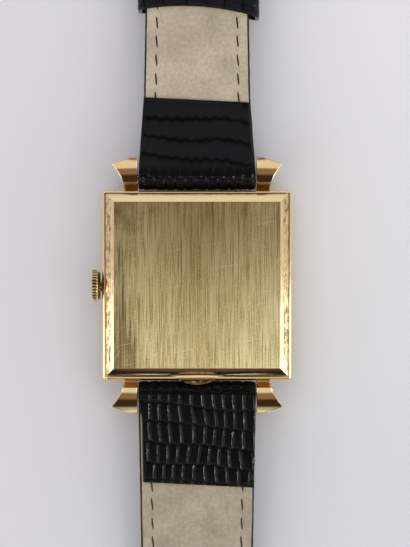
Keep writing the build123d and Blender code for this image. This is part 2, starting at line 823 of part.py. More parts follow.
# Crown wheel, which the winding pinion drives
with BuildPart() as crown_wheel:
    with BuildSketch(Plane.XY.offset(winding_wheel_z)):
        with Locations(crown_wheel_at):
            Polygon(
                *leaf_points(
                    crown_wheel_teeth,
                    winding_module,
                    gap_bearing(crown_wheel_teeth, ratchet_mesh + 180),
                ),
                align=None,
            )
            Circle(2 * post_radius, mode=Mode.SUBTRACT)
    extrude(amount=winding_wheel_thickness)
crown_wheel.part.label = "crown_wheel"
export_step(crown_wheel.part, "parts/crown_wheel.step")

# Click: the pawl that stops the ratchet wheel from running back
click_bearing = gap_bearing(ratchet_teeth, ratchet_mesh) + click_gaps * 360 / ratchet_teeth
click_nose = polar(barrel_at, ratchet_radius, click_bearing)
click_at = polar(polar(click_nose, click_reach, click_bearing - 90), click_stand, click_bearing)
click_aim = bearing_of(click_at, click_nose)
with BuildPart() as click:
    with BuildSketch(Plane.XY.offset(winding_wheel_z)):
        with Locations(click_at):
            Circle(click_width / 2)
        Polygon(
            polar(click_at, click_width / 2, click_aim + 90),
            polar(click_at, click_width / 2, click_aim - 90),
            click_nose,
            align=None,
        )
        with Locations(click_at):
            Circle(post_radius + running_gap, mode=Mode.SUBTRACT)
    extrude(amount=winding_wheel_thickness)
click.part.label = "click"
export_step(click.part, "parts/click.step")

# Barrel bridge: the upper half of the movement, with a bay for the balance cock's foot
cock_foot_distance = plate_radius - cock_foot_radius - cock_foot_edge
cock_foot_at = polar(middle, cock_foot_distance, cock_foot_bearing)
bay_radius = cock_foot_radius + bridge_gap
balance_bay = balance_radius + bridge_gap
split_y = -bridge_split

with BuildPart() as barrel_bridge:
    with BuildSketch(Plane.XY.offset(bridge_low_z)):
        Circle(bridge_radius)
        with Locations((0, split_y + bridge_gap / 2 - plate_radius)):
            Rectangle(2 * plate_radius, 2 * plate_radius, mode=Mode.SUBTRACT)
        with Locations(cock_foot_at):
            Circle(bay_radius, mode=Mode.SUBTRACT)
        with Locations((cock_foot_at[0] + bay_radius, cock_foot_at[1] - bay_radius)):
            Rectangle(4 * bay_radius, 2 * bay_radius, mode=Mode.SUBTRACT)
        with Locations(balance_at):
            Circle(balance_bay, mode=Mode.SUBTRACT)
    extrude(amount=bridge_thickness)
    chamfer(barrel_bridge.faces().sort_by(Axis.Z)[-1].outer_wire().edges(), bridge_edge)
    with BuildSketch(Plane.XY.offset(bridge_low_z)):
        with Locations(barrel_at):
            Circle(barrel_arbor_radius / 2 + running_gap)
        Circle(jewel_radius)
        with Locations((winding_pinion_x - part_gap, 0)):
            Rectangle(
                winding_pinion_length + 2 * part_gap, winding_pinion_radius * 2 + 2 * part_gap
            )
        with Locations((sliding_pinion_x, 0)):
            Rectangle(2 * sliding_pinion_length, sliding_pinion_radius + 2 * part_gap)
    extrude(amount=bridge_thickness, mode=Mode.SUBTRACT)
    # Bosses that the crown wheel and the click turn on
    with BuildSketch(Plane.XY.offset(bridge_top_z)):
        with Locations(crown_wheel_at):
            Circle(2 * post_radius - running_gap)
        with Locations(click_at):
            Circle(post_radius)
    extrude(amount=winding_wheel_thickness + 2 * wheel_gap)
barrel_bridge.part.label = "barrel_bridge"
export_step(barrel_bridge.part, "parts/barrel_bridge.step")

# Train bridge: the lower left of the movement, cut back round the balance
with BuildPart() as train_bridge:
    with BuildSketch(Plane.XY.offset(bridge_low_z)):
        Circle(bridge_radius)
        with Locations((0, split_y - bridge_gap / 2 + plate_radius)):
            Rectangle(2 * plate_radius, 2 * plate_radius, mode=Mode.SUBTRACT)
        with Locations(balance_at):
            Circle(balance_bay, mode=Mode.SUBTRACT)
        with Locations((balance_at[0] + plate_radius / 2, 0)):
            Rectangle(plate_radius, 2 * plate_radius, mode=Mode.SUBTRACT)
    extrude(amount=bridge_thickness)
    chamfer(train_bridge.faces().sort_by(Axis.Z)[-1].outer_wire().edges(), bridge_edge)
    with BuildSketch(Plane.XY.offset(bridge_low_z)):
        with Locations(third_at, fourth_at, escape_at):
            Circle(jewel_radius)
    extrude(amount=bridge_thickness, mode=Mode.SUBTRACT)
train_bridge.part.label = "train_bridge"
export_step(train_bridge.part, "parts/train_bridge.step")

# Balance cock: a foot on the plate and an arm over the balance
cock_bearing = bearing_of(cock_foot_at, balance_at)
cock_reach = hypot(balance_at[0] - cock_foot_at[0], balance_at[1] - cock_foot_at[1])
cock_middle = polar(cock_foot_at, cock_reach / 2, cock_bearing)

with BuildPart() as balance_cock:
    with BuildSketch(Plane.XY.offset(plate_train_z)):
        with Locations(cock_foot_at):
            Circle(cock_foot_radius)
    extrude(amount=cock_top_z - plate_train_z)
    with BuildSketch(Plane.XY.offset(cock_low_z)):
        with Locations(across(cock_middle, cock_bearing)):
            Rectangle(cock_reach, cock_arm_width)
        with Locations(balance_at):
            Circle(cock_nose_radius)
    extrude(amount=bridge_thickness)
    chamfer(balance_cock.faces().sort_by(Axis.Z)[-1].outer_wire().edges(), bridge_edge)
    with BuildSketch(Plane.XY.offset(cock_low_z)):
        with Locations(balance_at):
            Circle(jewel_radius)
    extrude(amount=bridge_thickness, mode=Mode.SUBTRACT)
balance_cock.part.label = "balance_cock"
export_step(balance_cock.part, "parts/balance_cock.step")

# Pallet bridge: a low strap over the fork, with a foot beyond each end
pallet_bridge_z = balance_z - part_gap - pallet_bridge_thickness
pallet_foot_near = polar(pallet_at, 1.5 * pallet_bridge_width, balance_bearing + 90)
pallet_foot_far = polar(pallet_at, 1.5 * pallet_bridge_width, balance_bearing - 90)
with BuildPart() as pallet_bridge:
    with BuildSketch(Plane.XY.offset(pallet_bridge_z)):
        with Locations(across(pallet_at, balance_bearing + 90)):
            SlotCenterToCenter(3 * pallet_bridge_width, pallet_bridge_width / 2)
            Circle(jewel_hole, mode=Mode.SUBTRACT)
    extrude(amount=pallet_bridge_thickness)
    with BuildSketch(Plane.XY.offset(plate_train_z)):
        with Locations(pallet_foot_near, pallet_foot_far):
            Circle(pallet_bridge_width / 4)
    extrude(amount=pallet_bridge_z - plate_train_z)
pallet_bridge.part.label = "pallet_bridge"
export_step(pallet_bridge.part, "parts/pallet_bridge.step")

# Jewels in the bridges and the cock, as separate rings
jewel_places = [
    (middle, bridge_low_z, post_radius + running_gap),
    (third_at, bridge_low_z, jewel_hole),
    (fourth_at, bridge_low_z, jewel_hole),
    (escape_at, bridge_low_z, jewel_hole),
    (balance_at, cock_low_z, jewel_hole),
]
with BuildPart() as jewels:
    for place, low_z, hole in jewel_places:
        with BuildSketch(Plane.XY.offset(low_z)):
            with Locations(place):
                Circle(jewel_radius - fit_gap)
                Circle(hole, mode=Mode.SUBTRACT)
        extrude(amount=bridge_thickness - part_gap)
jewels.part.label = "jewels"
export_step(jewels.part, "parts/jewels.step")

# Screws: one over each pillar, one in the cock's foot and a wide one that caps the crown wheel
screw_places = [(place, bridge_top_z, screw_radius) for place in pillar_places]
screw_places.append((cock_foot_at, cock_top_z, screw_radius))
screw_places.append((crown_wheel_at, winding_wheel_top_z + wheel_gap, 3 * post_radius))
with BuildPart() as screws:
    for place, low_z, radius in screw_places:
        with BuildSketch(Plane.XY.offset(low_z)):
            with Locations(place):
                Circle(radius)
        extrude(amount=screw_head_height)
        with BuildSketch(Plane.XY.offset(low_z + screw_head_height - screw_slot_depth)):
            with Locations(place):
                Rectangle(3 * screw_radius, screw_slot_width)
        extrude(amount=screw_slot_depth, mode=Mode.SUBTRACT)
screws.part.label = "bridge_screws"
export_step(screws.part, "parts/bridge_screws.step")

# Centre wheel with its pinion and the long arbor that reaches the dial side
centre_arbor_low = dial_front_z
with BuildPart() as centre_wheel:
    add(
        spoked_wheel(
            middle,
            centre_wheel_z,
            train_wheel_thickness,
            wheel_points(centre_teeth, centre_module, third_bearing),
            root_of(centre_teeth, centre_module),
            wheel_hub,
            5,
        )
    )
    add(
        pinion_solid(
            middle,
            great_teeth_z,
            centre_wheel_z - great_teeth_z,
            leaf_points(
                centre_leaves, great_module, gap_bearing(centre_leaves, barrel_bearing)
            ),
        )
    )
    with BuildSketch(Plane.XY.offset(centre_arbor_low)):
        Circle(post_radius)
    extrude(amount=jewel_top_z - centre_arbor_low)
centre_wheel.part.label = "centre_wheel"
export_step(centre_wheel.part, "parts/centre_wheel.step")

# Third wheel
with BuildPart() as third_wheel:
    add(
        spoked_wheel(
            third_at,
            third_wheel_z,
            train_wheel_thickness,
            wheel_points(third_teeth, third_module, fourth_bearing),
            root_of(third_teeth, third_module),
            wheel_hub,
            4,
        )
    )
    add(
        pinion_solid(
            third_at,
            centre_wheel_z - part_gap,
            third_wheel_z - centre_wheel_z + part_gap,
            leaf_points(
                third_leaves, centre_module, gap_bearing(third_leaves, third_bearing + 180)
            ),
        )
    )
    add(
        arbor_solid(
            third_at, plate_dial_z, jewel_top_z, plate_train_z + wheel_gap, bridge_low_z - wheel_gap
        )
    )
third_wheel.part.label = "third_wheel"
export_step(third_wheel.part, "parts/third_wheel.step")

# Fourth wheel, whose long pivot carries the seconds hand
with BuildPart() as fourth_wheel:
    add(
        spoked_wheel(
            fourth_at,
            fourth_wheel_z,
            train_wheel_thickness,
            wheel_points(fourth_teeth, fourth_module, escape_bearing),
            root_of(fourth_teeth, fourth_module),
            wheel_hub,
            4,
        )
    )
    add(
        pinion_solid(
            fourth_at,
            third_wheel_z - part_gap,
            bridge_low_z - wheel_gap - third_wheel_z + part_gap,
            leaf_points(
                fourth_leaves, third_module, gap_bearing(fourth_leaves, fourth_bearing + 180)
            ),
        )
    )
    add(
        arbor_solid(
            fourth_at,
            dial_front_z - hand_gap / 2,
            jewel_top_z,
            plate_train_z + wheel_gap,
            bridge_low_z - wheel_gap,
        )
    )
fourth_wheel.part.label = "fourth_wheel"
export_step(fourth_wheel.part, "parts/fourth_wheel.step")

# Escape wheel: fifteen raked club teeth on a thin rim
escape_tooth_share = 0.42
escape_back_share = 0.5
escape_root = escape_radius * 0.74
escape_points = []
for tooth in range(escape_teeth):
    at = tooth * 360 / escape_teeth
    pitch = 360 / escape_teeth
    escape_points += [
        polar(middle, escape_root, at),
        polar(middle, escape_radius, at + escape_back_share * pitch),
        polar(middle, escape_radius, at + escape_back_share * pitch * 1.25),
        polar(middle, escape_root, at + escape_tooth_share * pitch),
    ]
with BuildPart() as escape_wheel:
    add(
        spoked_wheel(
            escape_at,
            fork_z,
            fork_thickness,
            escape_points,
            escape_root + wheel_rim / 2,
            wheel_hub / 2,
            4,
        )
    )
    add(
        pinion_solid(
            escape_at,
            fourth_wheel_z - part_gap / 2,
            fork_z - fourth_wheel_z + part_gap / 2,
            leaf_points(
                escape_leaves, fourth_module, gap_bearing(escape_leaves, escape_bearing + 180)
            ),
        )
    )
    add(
        arbor_solid(
            escape_at, plate_dial_z, jewel_top_z, plate_train_z + wheel_gap, bridge_low_z - wheel_gap
        )
    )
escape_wheel.part.label = "escape_wheel"
export_step(escape_wheel.part, "parts/escape_wheel.step")

# Pallet fork: two arms whose stones lock the escape wheel, and a lever that ends in a notched
# head. The head stops just short of the circle that the balance's impulse pin runs on.
lever_length = balance_distance - pallet_distance
head_at = polar(pallet_at, lever_length - roller_radius, balance_bearing)


with BuildPart() as fork:
    with BuildSketch(Plane.XY.offset(fork_z)):
        with Locations(pallet_at):
            Circle(fork_width)
        with Locations(across(polar(pallet_at, lever_length / 2, balance_bearing), balance_bearing)):
            Rectangle(lever_length, fork_width / 2)
        with Locations(across(head_at, balance_bearing)):
            Rectangle(fork_width, fork_head)
        with Locations(across(polar(head_at, fork_width / 3, balance_bearing), balance_bearing)):
            Rectangle(fork_width, 2 * (roller_pin_radius + running_gap), mode=Mode.SUBTRACT)
        with Locations(balance_at):
            Circle(roller_radius + running_gap, mode=Mode.SUBTRACT)
        for side in (-1, 1):
            arm_bearing = balance_bearing + 180 + side * pallet_spread
            arm_length = escape_radius * pallet_arm_share
            with Locations(across(polar(pallet_at, arm_length / 2, arm_bearing), arm_bearing)):
                Rectangle(arm_length, fork_width / 2)
            arm_end = polar(pallet_at, arm_length, arm_bearing)
            stone_bearing = bearing_of(arm_end, escape_at)
            stone_length = hypot(arm_end[0] - escape_at[0], arm_end[1] - escape_at[1])
            stone_length -= escape_radius - pallet_lock
            with Locations(across(polar(arm_end, stone_length / 2, stone_bearing), stone_bearing)):
                Rectangle(stone_length, pallet_stone)
    extrude(amount=fork_thickness)
    add(
        arbor_solid(
            pallet_at,
            plate_dial_z,
            pallet_bridge_z + pallet_bridge_thickness / 2,
            plate_train_z + wheel_gap,
            pallet_bridge_z - wheel_gap,
        )
    )
fork.part.label = "pallet_fork"
export_step(fork.part, "parts/pallet_fork.step")

# Balance: a ring on two arms, with its staff, roller and impulse pin
pin_at = polar(balance_at, roller_radius - roller_pin_radius - fit_gap, balance_bearing + 180)
with BuildPart() as balance:
    with BuildSketch(Plane.XY.offset(balance_z)):
        with Locations(balance_at):
            Circle(balance_radius)
            Circle(balance_radius - balance_rim, mode=Mode.SUBTRACT)
            Rectangle(2 * balance_radius - balance_rim, balance_arm)
            Circle(wheel_hub)
    extrude(amount=balance_thickness)
    with BuildSketch(Plane.XY.offset(fork_z + fork_thickness + part_gap)):
        with Locations(balance_at):
            Circle(roller_radius)
    extrude(amount=fork_thickness)
    with BuildSketch(Plane.XY.offset(fork_z)):
        with Locations(pin_at):
            Circle(roller_pin_radius)
    extrude(amount=fork_thickness + part_gap)
    add(
        arbor_solid(
            balance_at,
            plate_dial_z,
            cock_top_z - 2 * part_gap,
            plate_train_z + part_gap,
            cock_low_z - wheel_gap,
        )
    )
balance.part.label = "balance_wheel"
export_step(balance.part, "parts/balance_wheel.step")

with BuildPart() as hairspring:
    with BuildSketch(Plane.XY.offset(balance_z + balance_thickness + part_gap / 2)):
        Polygon(
            *spiral_band(
                balance_at,
                hairspring_inner,
                (hairspring_outer - hairspring_inner) / hairspring_turns,
                hairspring_turns,
                hairspring_wire,
                14,
            ),
            align=None,
        )
    extrude(amount=hairspring_height)
hairspring.part.label = "hairspring"
export_step(hairspring.part, "parts/hairspring.step")

# Dial with a sunk seconds ring and applied markers
with BuildPart() as dial:
    with BuildSketch(Plane.XY.offset(dial_front_z)):
        RectangleRounded(dial_side, dial_side, case_corner)
    extrude(amount=dial_thickness)
    with BuildSketch(Plane.XY.offset(dial_front_z)):
        with Locations(fourth_at):
            Circle(subdial_radius)
    extrude(amount=subdial_depth, mode=Mode.SUBTRACT)
    with BuildSketch(Plane.XY.offset(dial_front_z)):
        Circle(dial_centre_hole / 2)
        with Locations(fourth_at):
            Circle(jewel_hole)
    extrude(amount=dial_thickness, mode=Mode.SUBTRACT)
dial.part.label = "dial"
export_step(dial.part, "parts/dial.step")


def baton(centre_x, centre_y, bearing, length):
    """A faceted marker: a bar whose front is a low roof."""
    with BuildPart() as bar:
        section = Plane(
            origin=(
                centre_x - length / 2 * cos(radians(bearing)),
                centre_y - length / 2 * sin(radians(bearing)),
                dial_front_z,
            ),
            x_dir=(-sin(radians(bearing)), cos(radians(bearing)), 0),
            z_dir=(cos(radians(bearing)), sin(radians(bearing)), 0),
        )
        with BuildSketch(section):
            Polygon(
                (-marker_width / 2, 0),
                (-marker_width / 2, -marker_height / 2),
                (0, -marker_height),
                (marker_width / 2, -marker_height / 2),
                (marker_width / 2, 0),
                align=None,
            )
        extrude(amount=length)
    return bar.part


marker_half = dial_side / 2 - marker_inset
marker_corner_share = 1.12
twelve_share = 1.15  # the pair at twelve is longer
twelve_shift = 0.8 * marker_width

with BuildPart() as markers:
    for hour in range(12):
        bearing = 90 - hour * 30
        if hour == 6:
            continue  # the seconds ring takes this place
        # Each marker's outer end lies on a square inside the dial's edge, drawn in at the corners.
        reach = marker_half / max(abs(cos(radians(bearing))), abs(sin(radians(bearing))))
        reach = min(reach, marker_half * marker_corner_share)
        length = marker_length * (twelve_share if hour == 0 else 1)
        place = polar(middle, reach - length / 2, bearing)
        for shift in (-twelve_shift, twelve_shift) if hour == 0 else (0,):
            add(baton(place[0] + shift, place[1], bearing, length))
markers.part.label = "dial_markers"
export_step(markers.part, "parts/dial_markers.step")

# Hands: faceted batons that taper to a point, the hour hand next to the dial
hour_hand_z = dial_front_z - hand_gap - hand_thickness
minute_hand_z = hour_hand_z - hand_gap - hand_thickness
seconds_hand_z = dial_front_z - hand_gap / 2 - hand_thickness / 2


def hand_sketch(length, width, tail):
    """Outline of a hand that points at twelve, widest a third of the way out."""
    shoulder_share = 0.35
    Polygon(
        (0, -tail),
        (width / 2, length * shoulder_share),
        (0, length),
        (-width / 2, length * shoulder_share),
        align=None,
    )


with BuildPart() as hour_hand:
    with BuildSketch(Plane.XY.offset(hour_hand_z)):
        hand_sketch(hour_hand_length, hand_width * 1.2, hand_tail)
        Circle(hand_boss)
        Circle(hour_pipe_radius, mode=Mode.SUBTRACT)
    extrude(amount=hand_thickness)
hour_hand.part.label = "hour_hand"
export_step(hour_hand.part, "parts/hour_hand.step")

with BuildPart() as minute_hand:
    with BuildSketch(Plane.XY.offset(minute_hand_z)):
        hand_sketch(minute_hand_length, hand_width, hand_tail)
        Circle(hand_boss * 0.8)
        Circle(cannon_radius, mode=Mode.SUBTRACT)
    extrude(amount=hand_thickness)
minute_hand.part.label = "minute_hand"
export_step(minute_hand.part, "parts/minute_hand.step")

with BuildPart() as seconds_hand:
    with BuildSketch(Plane.XY.offset(seconds_hand_z)):
        with Locations((0, -seconds_offset + seconds_hand_length / 4)):
            Rectangle(seconds_hand_width, seconds_hand_length * 1.5)
        with Locations(fourth_at):
            Circle(arbor_radius)
            Circle(pivot_radius, mode=Mode.SUBTRACT)
    extrude(amount=hand_thickness / 2)
seconds_hand.part.label = "seconds_hand"
export_step(seconds_hand.part, "parts/seconds_hand.step")

# Motion work: cannon pinion, minute wheel, hour wheel and setting wheel
hour_wheel_z = dial_back_z + wheel_gap
minute_wheel_z = plate_dial_z - wheel_gap - motion_thickness

with BuildPart() as cannon:
    with BuildSketch(Plane.XY.offset(minute_wheel_z)):
        Polygon(
            *leaf_points(cannon_leaves, motion_module, gap_bearing(cannon_leaves, 180)), align=None
        )
    extrude(amount=motion_thickness)
    with BuildSketch(Plane.XY.offset(minute_hand_z)):
        Circle(cannon_radius)
    extrude(amount=minute_wheel_z - minute_hand_z)
    with BuildSketch(Plane.XY.offset(centre_arbor_low - part_gap)):
        Circle(post_radius + fit_gap)
    extrude(amount=plate_dial_z, mode=Mode.SUBTRACT)
cannon.part.label = "cannon_pinion"
export_step(cannon.part, "parts/cannon_pinion.step")

with BuildPart() as hour_wheel:
    with BuildSketch(Plane.XY.offset(hour_wheel_z)):
        Polygon(*wheel_points(hour_teeth, motion_module, 180), align=None)
    extrude(amount=motion_thickness)
    with BuildSketch(Plane.XY.offset(hour_hand_z)):
        Circle(hour_pipe_radius)
    extrude(amount=hour_wheel_z - hour_hand_z)
    with BuildSketch(Plane.XY.offset(hour_hand_z)):
        Circle(hour_pipe_radius - hour_pipe_wall)
    extrude(amount=plate_dial_z - hour_hand_z, mode=Mode.SUBTRACT)
hour_wheel.part.label = "hour_wheel"
export_step(hour_wheel.part, "parts/hour_wheel.step")

with BuildPart() as minute_wheel:
    with BuildSketch(Plane.XY.offset(minute_wheel_z)):
        with Locations(minute_at):
            Polygon(*wheel_points(minute_teeth, motion_module, 0), align=None)
    extrude(amount=motion_thickness)
    with BuildSketch(Plane.XY.offset(hour_wheel_z)):
        with Locations(minute_at):
            Polygon(
                *leaf_points(minute_leaves, motion_module, gap_bearing(minute_leaves, 0)),
                align=None,
            )
    extrude(amount=minute_wheel_z - hour_wheel_z)
    with BuildSketch(Plane.XY.offset(minute_wheel_z)):
        with Locations(minute_at):
            Circle(post_radius)
    extrude(amount=plate_dial_z - minute_wheel_z + plate_thickness / 2)
minute_wheel.part.label = "minute_wheel"
export_step(minute_wheel.part, "parts/minute_wheel.step")

with BuildPart() as setting_wheel:
    with BuildSketch(Plane.XY.offset(minute_wheel_z)):
        with Locations(setting_at):
            Polygon(
                *leaf_points(setting_teeth, motion_module, gap_bearing(setting_teeth, 0)),
                align=None,
            )
    extrude(amount=motion_thickness)
    with BuildSketch(Plane.XY.offset(minute_wheel_z)):
        with Locations(setting_at):
            Circle(post_radius)
    extrude(amount=plate_dial_z - minute_wheel_z + plate_thickness / 2)
setting_wheel.part.label = "setting_wheel"
export_step(setting_wheel.part, "parts/setting_wheel.step")


# Winding pinion and sliding pinion, both threaded on the stem
def stem_plane(x):
    """A plane across the stem, whose X runs along the row's Y and whose Y runs up."""
    return Plane(origin=(x, 0, stem_z), x_dir=(0, 1, 0), z_dir=(1, 0, 0))


winding_tooth = 0.3
with BuildPart() as winding_pinion:
    with BuildSketch(stem_plane(winding_pinion_x - winding_pinion_length / 2)):
        Polygon(
            *gear_points(
                winding_leaves,
                winding_pinion_radius - winding_tooth / 2,
                winding_tooth / 2,
                winding_tooth / 2,
                leaf_tooth_share,
                leaf_tip_share,
                gap_bearing(winding_leaves, 90),
            ),
            align=None,
        )
        Circle(stem_radius + running_gap, mode=Mode.SUBTRACT)
    extrude(amount=winding_pinion_length)
winding_pinion.part.label = "winding_pinion"
export_step(winding_pinion.part, "parts/winding_pinion.step")

with BuildPart() as sliding_pinion:
    with BuildSketch(stem_plane(sliding_pinion_x)):
        Polygon(
            *gear_points(
                winding_leaves,
                sliding_pinion_radius - winding_tooth / 2,
                winding_tooth / 2,
                winding_tooth / 2,
                leaf_tooth_share,
                leaf_tip_share,
            ),
            align=None,
        )
        Rectangle(stem_square + 2 * running_gap, stem_square + 2 * running_gap, mode=Mode.SUBTRACT)
    extrude(amount=sliding_pinion_length)
    # The groove that the yoke sits in
    with BuildSketch(stem_plane(sliding_pinion_x + sliding_pinion_length / 3)):
        Circle(sliding_pinion_radius)
        Circle(sliding_pinion_radius - 1.5 * winding_tooth, mode=Mode.SUBTRACT)
    extrude(amount=sliding_pinion_length / 4, mode=Mode.SUBTRACT)
sliding_pinion.part.label = "sliding_pinion"
export_step(sliding_pinion.part, "parts/sliding_pinion.step")

# Crown: a fluted button with a plain ring next to the band and a recess for the tube
crown_inner_x = -case_half - crown_gap
crown_outer_x = crown_inner_x - crown_length

with BuildPart() as crown:
    with BuildSketch(stem_plane(crown_outer_x)):
        Circle(crown_radius)
    extrude(amount=crown_length)
    chamfer(crown.edges().sort_by(Axis.X)[0], crown_chamfer)
    with BuildSketch(stem_plane(crown_outer_x)):
        with PolarLocations(crown_radius, crown_flutes):
            Circle(crown_flute_depth)
    extrude(amount=crown_length - crown_rim, mode=Mode.SUBTRACT)
    with BuildSketch(stem_plane(crown_inner_x - crown_recess_depth)):
        Circle(crown_recess_radius)
    extrude(amount=crown_recess_depth, mode=Mode.SUBTRACT)
    with BuildSketch(stem_plane(crown_inner_x - crown_length * 3 / 4)):
        Circle(stem_radius + fit_gap)
    extrude(amount=crown_length, mode=Mode.SUBTRACT)
crown.part.label = "crown"
export_step(crown.part, "parts/crown.step")

crown_tube_end = crown_inner_x - crown_recess_depth / 2
with BuildPart() as crown_tube:
    with BuildSketch(stem_plane(crown_tube_end)):
        Circle(crown_tube_radius)
        Circle(stem_radius + running_gap, mode=Mode.SUBTRACT)
    extrude(amount=-opening_side / 2 - crown_tube_end)
crown_tube.part.label = "crown_tube"
export_step(crown_tube.part, "parts/crown_tube.step")

stem_start = crown_inner_x - crown_length * 3 / 4
with BuildPart() as stem:
    with BuildSketch(stem_plane(stem_start)):
        Circle(stem_radius)
    extrude(amount=sliding_pinion_x - part_gap - stem_start)
    with BuildSketch(stem_plane(sliding_pinion_x - part_gap)):
        Rectangle(stem_square, stem_square)
    extrude(amount=sliding_pinion_length + stem_over + part_gap)
stem.part.label = "winding_stem"
export_step(stem.part, "parts/winding_stem.step")

# Spring bars: a tube across each pair of lugs and a sprung tip at each end
tube_half = lug_inner - bar_end_gap
tip_bore = bar_radius - bar_wall


def bar_plane(x, y):
    return Plane(origin=(x, y, bar_z), x_dir=(0, 1, 0), z_dir=(1, 0, 0))


for hour, side_y in (("12", 1), ("6", -1)):
    with BuildPart() as tube:
        with BuildSketch(bar_plane(-tube_half, side_y * bar_y)):
            Circle(bar_radius)
        extrude(amount=2 * tube_half)
        for side_x in (-1, 1):
            with BuildSketch(bar_plane(side_x * tube_half, side_y * bar_y)):
                Circle(tip_bore)
            extrude(amount=-side_x * (tip_length + tip_travel + part_gap), mode=Mode.SUBTRACT)
    tube.part.label = f"spring_bar_tube_{hour}"
    export_step(tube.part, f"parts/spring_bar_tube_{hour}.step")
    for hand_name, side_x in (("crown_side", -1), ("far_side", 1)):
        with BuildPart() as tip:
            with BuildSketch(bar_plane(side_x * (tube_half - tip_length), side_y * bar_y)):
                Circle(tip_bore - running_gap)
            extrude(amount=side_x * (tip_length + bar_end_gap / 2))
            with BuildSketch(bar_plane(side_x * tube_half, side_y * bar_y)):
                Circle(tip_pin_radius)
            extrude(amount=side_x * (bar_end_gap + tip_pin_reach))
        tip.part.label = f"spring_bar_tip_{hour}_{hand_name}"
        export_step(tip.part, f"parts/spring_bar_tip_{hour}_{hand_name}.step")

# Strap, drawn from the side: distance from the spring bar, and height above the table
strap_end_width = lug_gap - 2 * strap_side_gap
fold_hole = bar_radius + running_gap
buckle_pin_y = bar_y + short_length
buckle_pin_z = bar_z - short_drop
pin_hole = buckle_pin_radius + running_gap
short_slope = degrees(atan2(short_drop, short_length))


def short_side(inset):
    """Side view of the twelve o'clock piece, drawn in by inset all round."""
    near = strap_fold - inset
    far = short_fold - inset
    with BuildSketch(Plane.YZ) as side:
        with BuildLine():
            CenterArc((bar_y, bar_z), near, 0, 360)
            CenterArc((buckle_pin_y, buckle_pin_z), far, 0, 360)
        make_hull()
    return side.sketch_local


def short_band(start, end, low_share, high_share):
    """A slanting box over part of the twelve o'clock piece, between two shares of its height."""
    tall = 4 * strap_fold
    with BuildSketch(Plane.YZ) as box:
        Polygon(
            (bar_y + start, bar_z + low_share * tall - start * tan(radians(short_slope))),
            (bar_y + end, bar_z + low_share * tall - end * tan(radians(short_slope))),
            (bar_y + end, bar_z + high_share * tall - end * tan(radians(short_slope))),
            (bar_y + start, bar_z + high_share * tall - start * tan(radians(short_slope))),
            align=None,
        )
    return box.sketch_local


def short_plan():
    """Outline of the twelve o'clock piece from above."""
    with BuildSketch() as plan:
        Polygon(
            (-strap_end_width / 2, bar_y - 2 * strap_fold),
            (strap_end_width / 2, bar_y - 2 * strap_fold),
            (strap_end_width / 2, bar_y),
            (short_waist_width / 2, bar_y + short_waist),
            (strap_width / 2, bar_y + 2 * short_waist),
            (strap_width / 2, buckle_pin_y + 2 * short_fold),
            (-strap_width / 2, buckle_pin_y + 2 * short_fold),
            (-strap_width / 2, bar_y + 2 * short_waist),
            (-short_waist_width / 2, bar_y + short_waist),
            (-strap_end_width / 2, bar_y),
            align=None,
        )
    return plan.sketch_local


def strap_solid(side_sketch, plan_sketch, holes):
    """A side view pulled across the strap's width, cut to its outline from above."""
    with BuildPart() as piece:
        with BuildSketch(Plane.YZ):
            add(side_sketch)
            for hole_y, hole_z, radius in holes:
                with Locations((hole_y, hole_z)):
                    Circle(radius, mode=Mode.SUBTRACT)
        extrude(amount=strap_end_width, both=True)
        with BuildSketch():
            add(plan_sketch)
        extrude(amount=back_field_z * 2, both=True, mode=Mode.INTERSECT)
    return piece


short_holes = [(bar_y, bar_z, fold_hole), (buckle_pin_y, buckle_pin_z, pin_hole)]
short_core = short_side(skin)
short_window = short_band(short_flap, short_length - buckle_flap, 0, 1)
short_lining_zone = short_band(strap_fold, short_length - 2 * short_fold, 0, 1)
short_lining_low = short_side(skin + lining)
tongue_slot_y = buckle_pin_y + short_fold - strap_slot_length / 2


# The slot at the strap's buckle end, through which the tongue passes
with BuildPart() as tongue_slot:
    with BuildSketch():
        with Locations((0, tongue_slot_y)):
            Rectangle(strap_slot_width, strap_slot_length)
    extrude(amount=back_field_z)


# Black leather: the outside, folded over the bar and the pin and back on itself
with BuildPart() as short_leather:
    add(strap_solid(short_side(0) - short_core - (short_window - short_core), short_plan(), []).part)
    add(tongue_slot.part, mode=Mode.SUBTRACT)
short_leather.part.label = "strap_12_leather"
export_step(short_leather.part, "parts/strap_12_leather.step")

with BuildPart() as short_filler:
    add(
        strap_solid(
            short_core - ((short_core & short_lining_zone) - short_lining_low),
            short_plan(),
            short_holes,
        ).part
    )
    add(tongue_slot.part, mode=Mode.SUBTRACT)
short_filler.part.label = "strap_12_filler"
export_step(short_filler.part, "parts/strap_12_filler.step")

with BuildPart() as short_lining:
    add(
        strap_solid(
            (short_core & short_lining_zone) - short_lining_low, short_plan(), []
        ).part
    )
    add(tongue_slot.part, mode=Mode.SUBTRACT)
short_lining.part.label = "strap_12_lining"
export_step(short_lining.part, "parts/strap_12_lining.step")


# Six o'clock piece: it slopes from the bar down to the table and then lies flat
def long_side(low_inset, top_inset, start, end):
    """Side view between a lower and an upper line, from start to end along the strap."""
    low_start = bar_z - strap_fold + low_inset
    top_start = bar_z + strap_fold - skin - top_inset
    with BuildSketch(Plane.YZ) as side:
        with BuildLine():
            low = FilletPolyline(
                (-bar_y, low_start),
                (-bar_y - long_bend, low_inset),
                (-bar_y - long_length, low_inset),
                radius=long_bend_radius,
            )
            top = FilletPolyline(
                (-bar_y, top_start),
                (-bar_y - long_bend, long_thickness - top_inset),
                (-bar_y - long_length, long_thickness - top_inset),
                radius=long_bend_radius,
            )
            Line(low @ 0, top @ 0)
            Line(low @ 1, top @ 1)
        make_face()
        with Locations((-bar_y - (start + end) / 2, 0)):
            Rectangle(end - start, 4 * back_field_z, mode=Mode.INTERSECT)
    return side.sketch_local


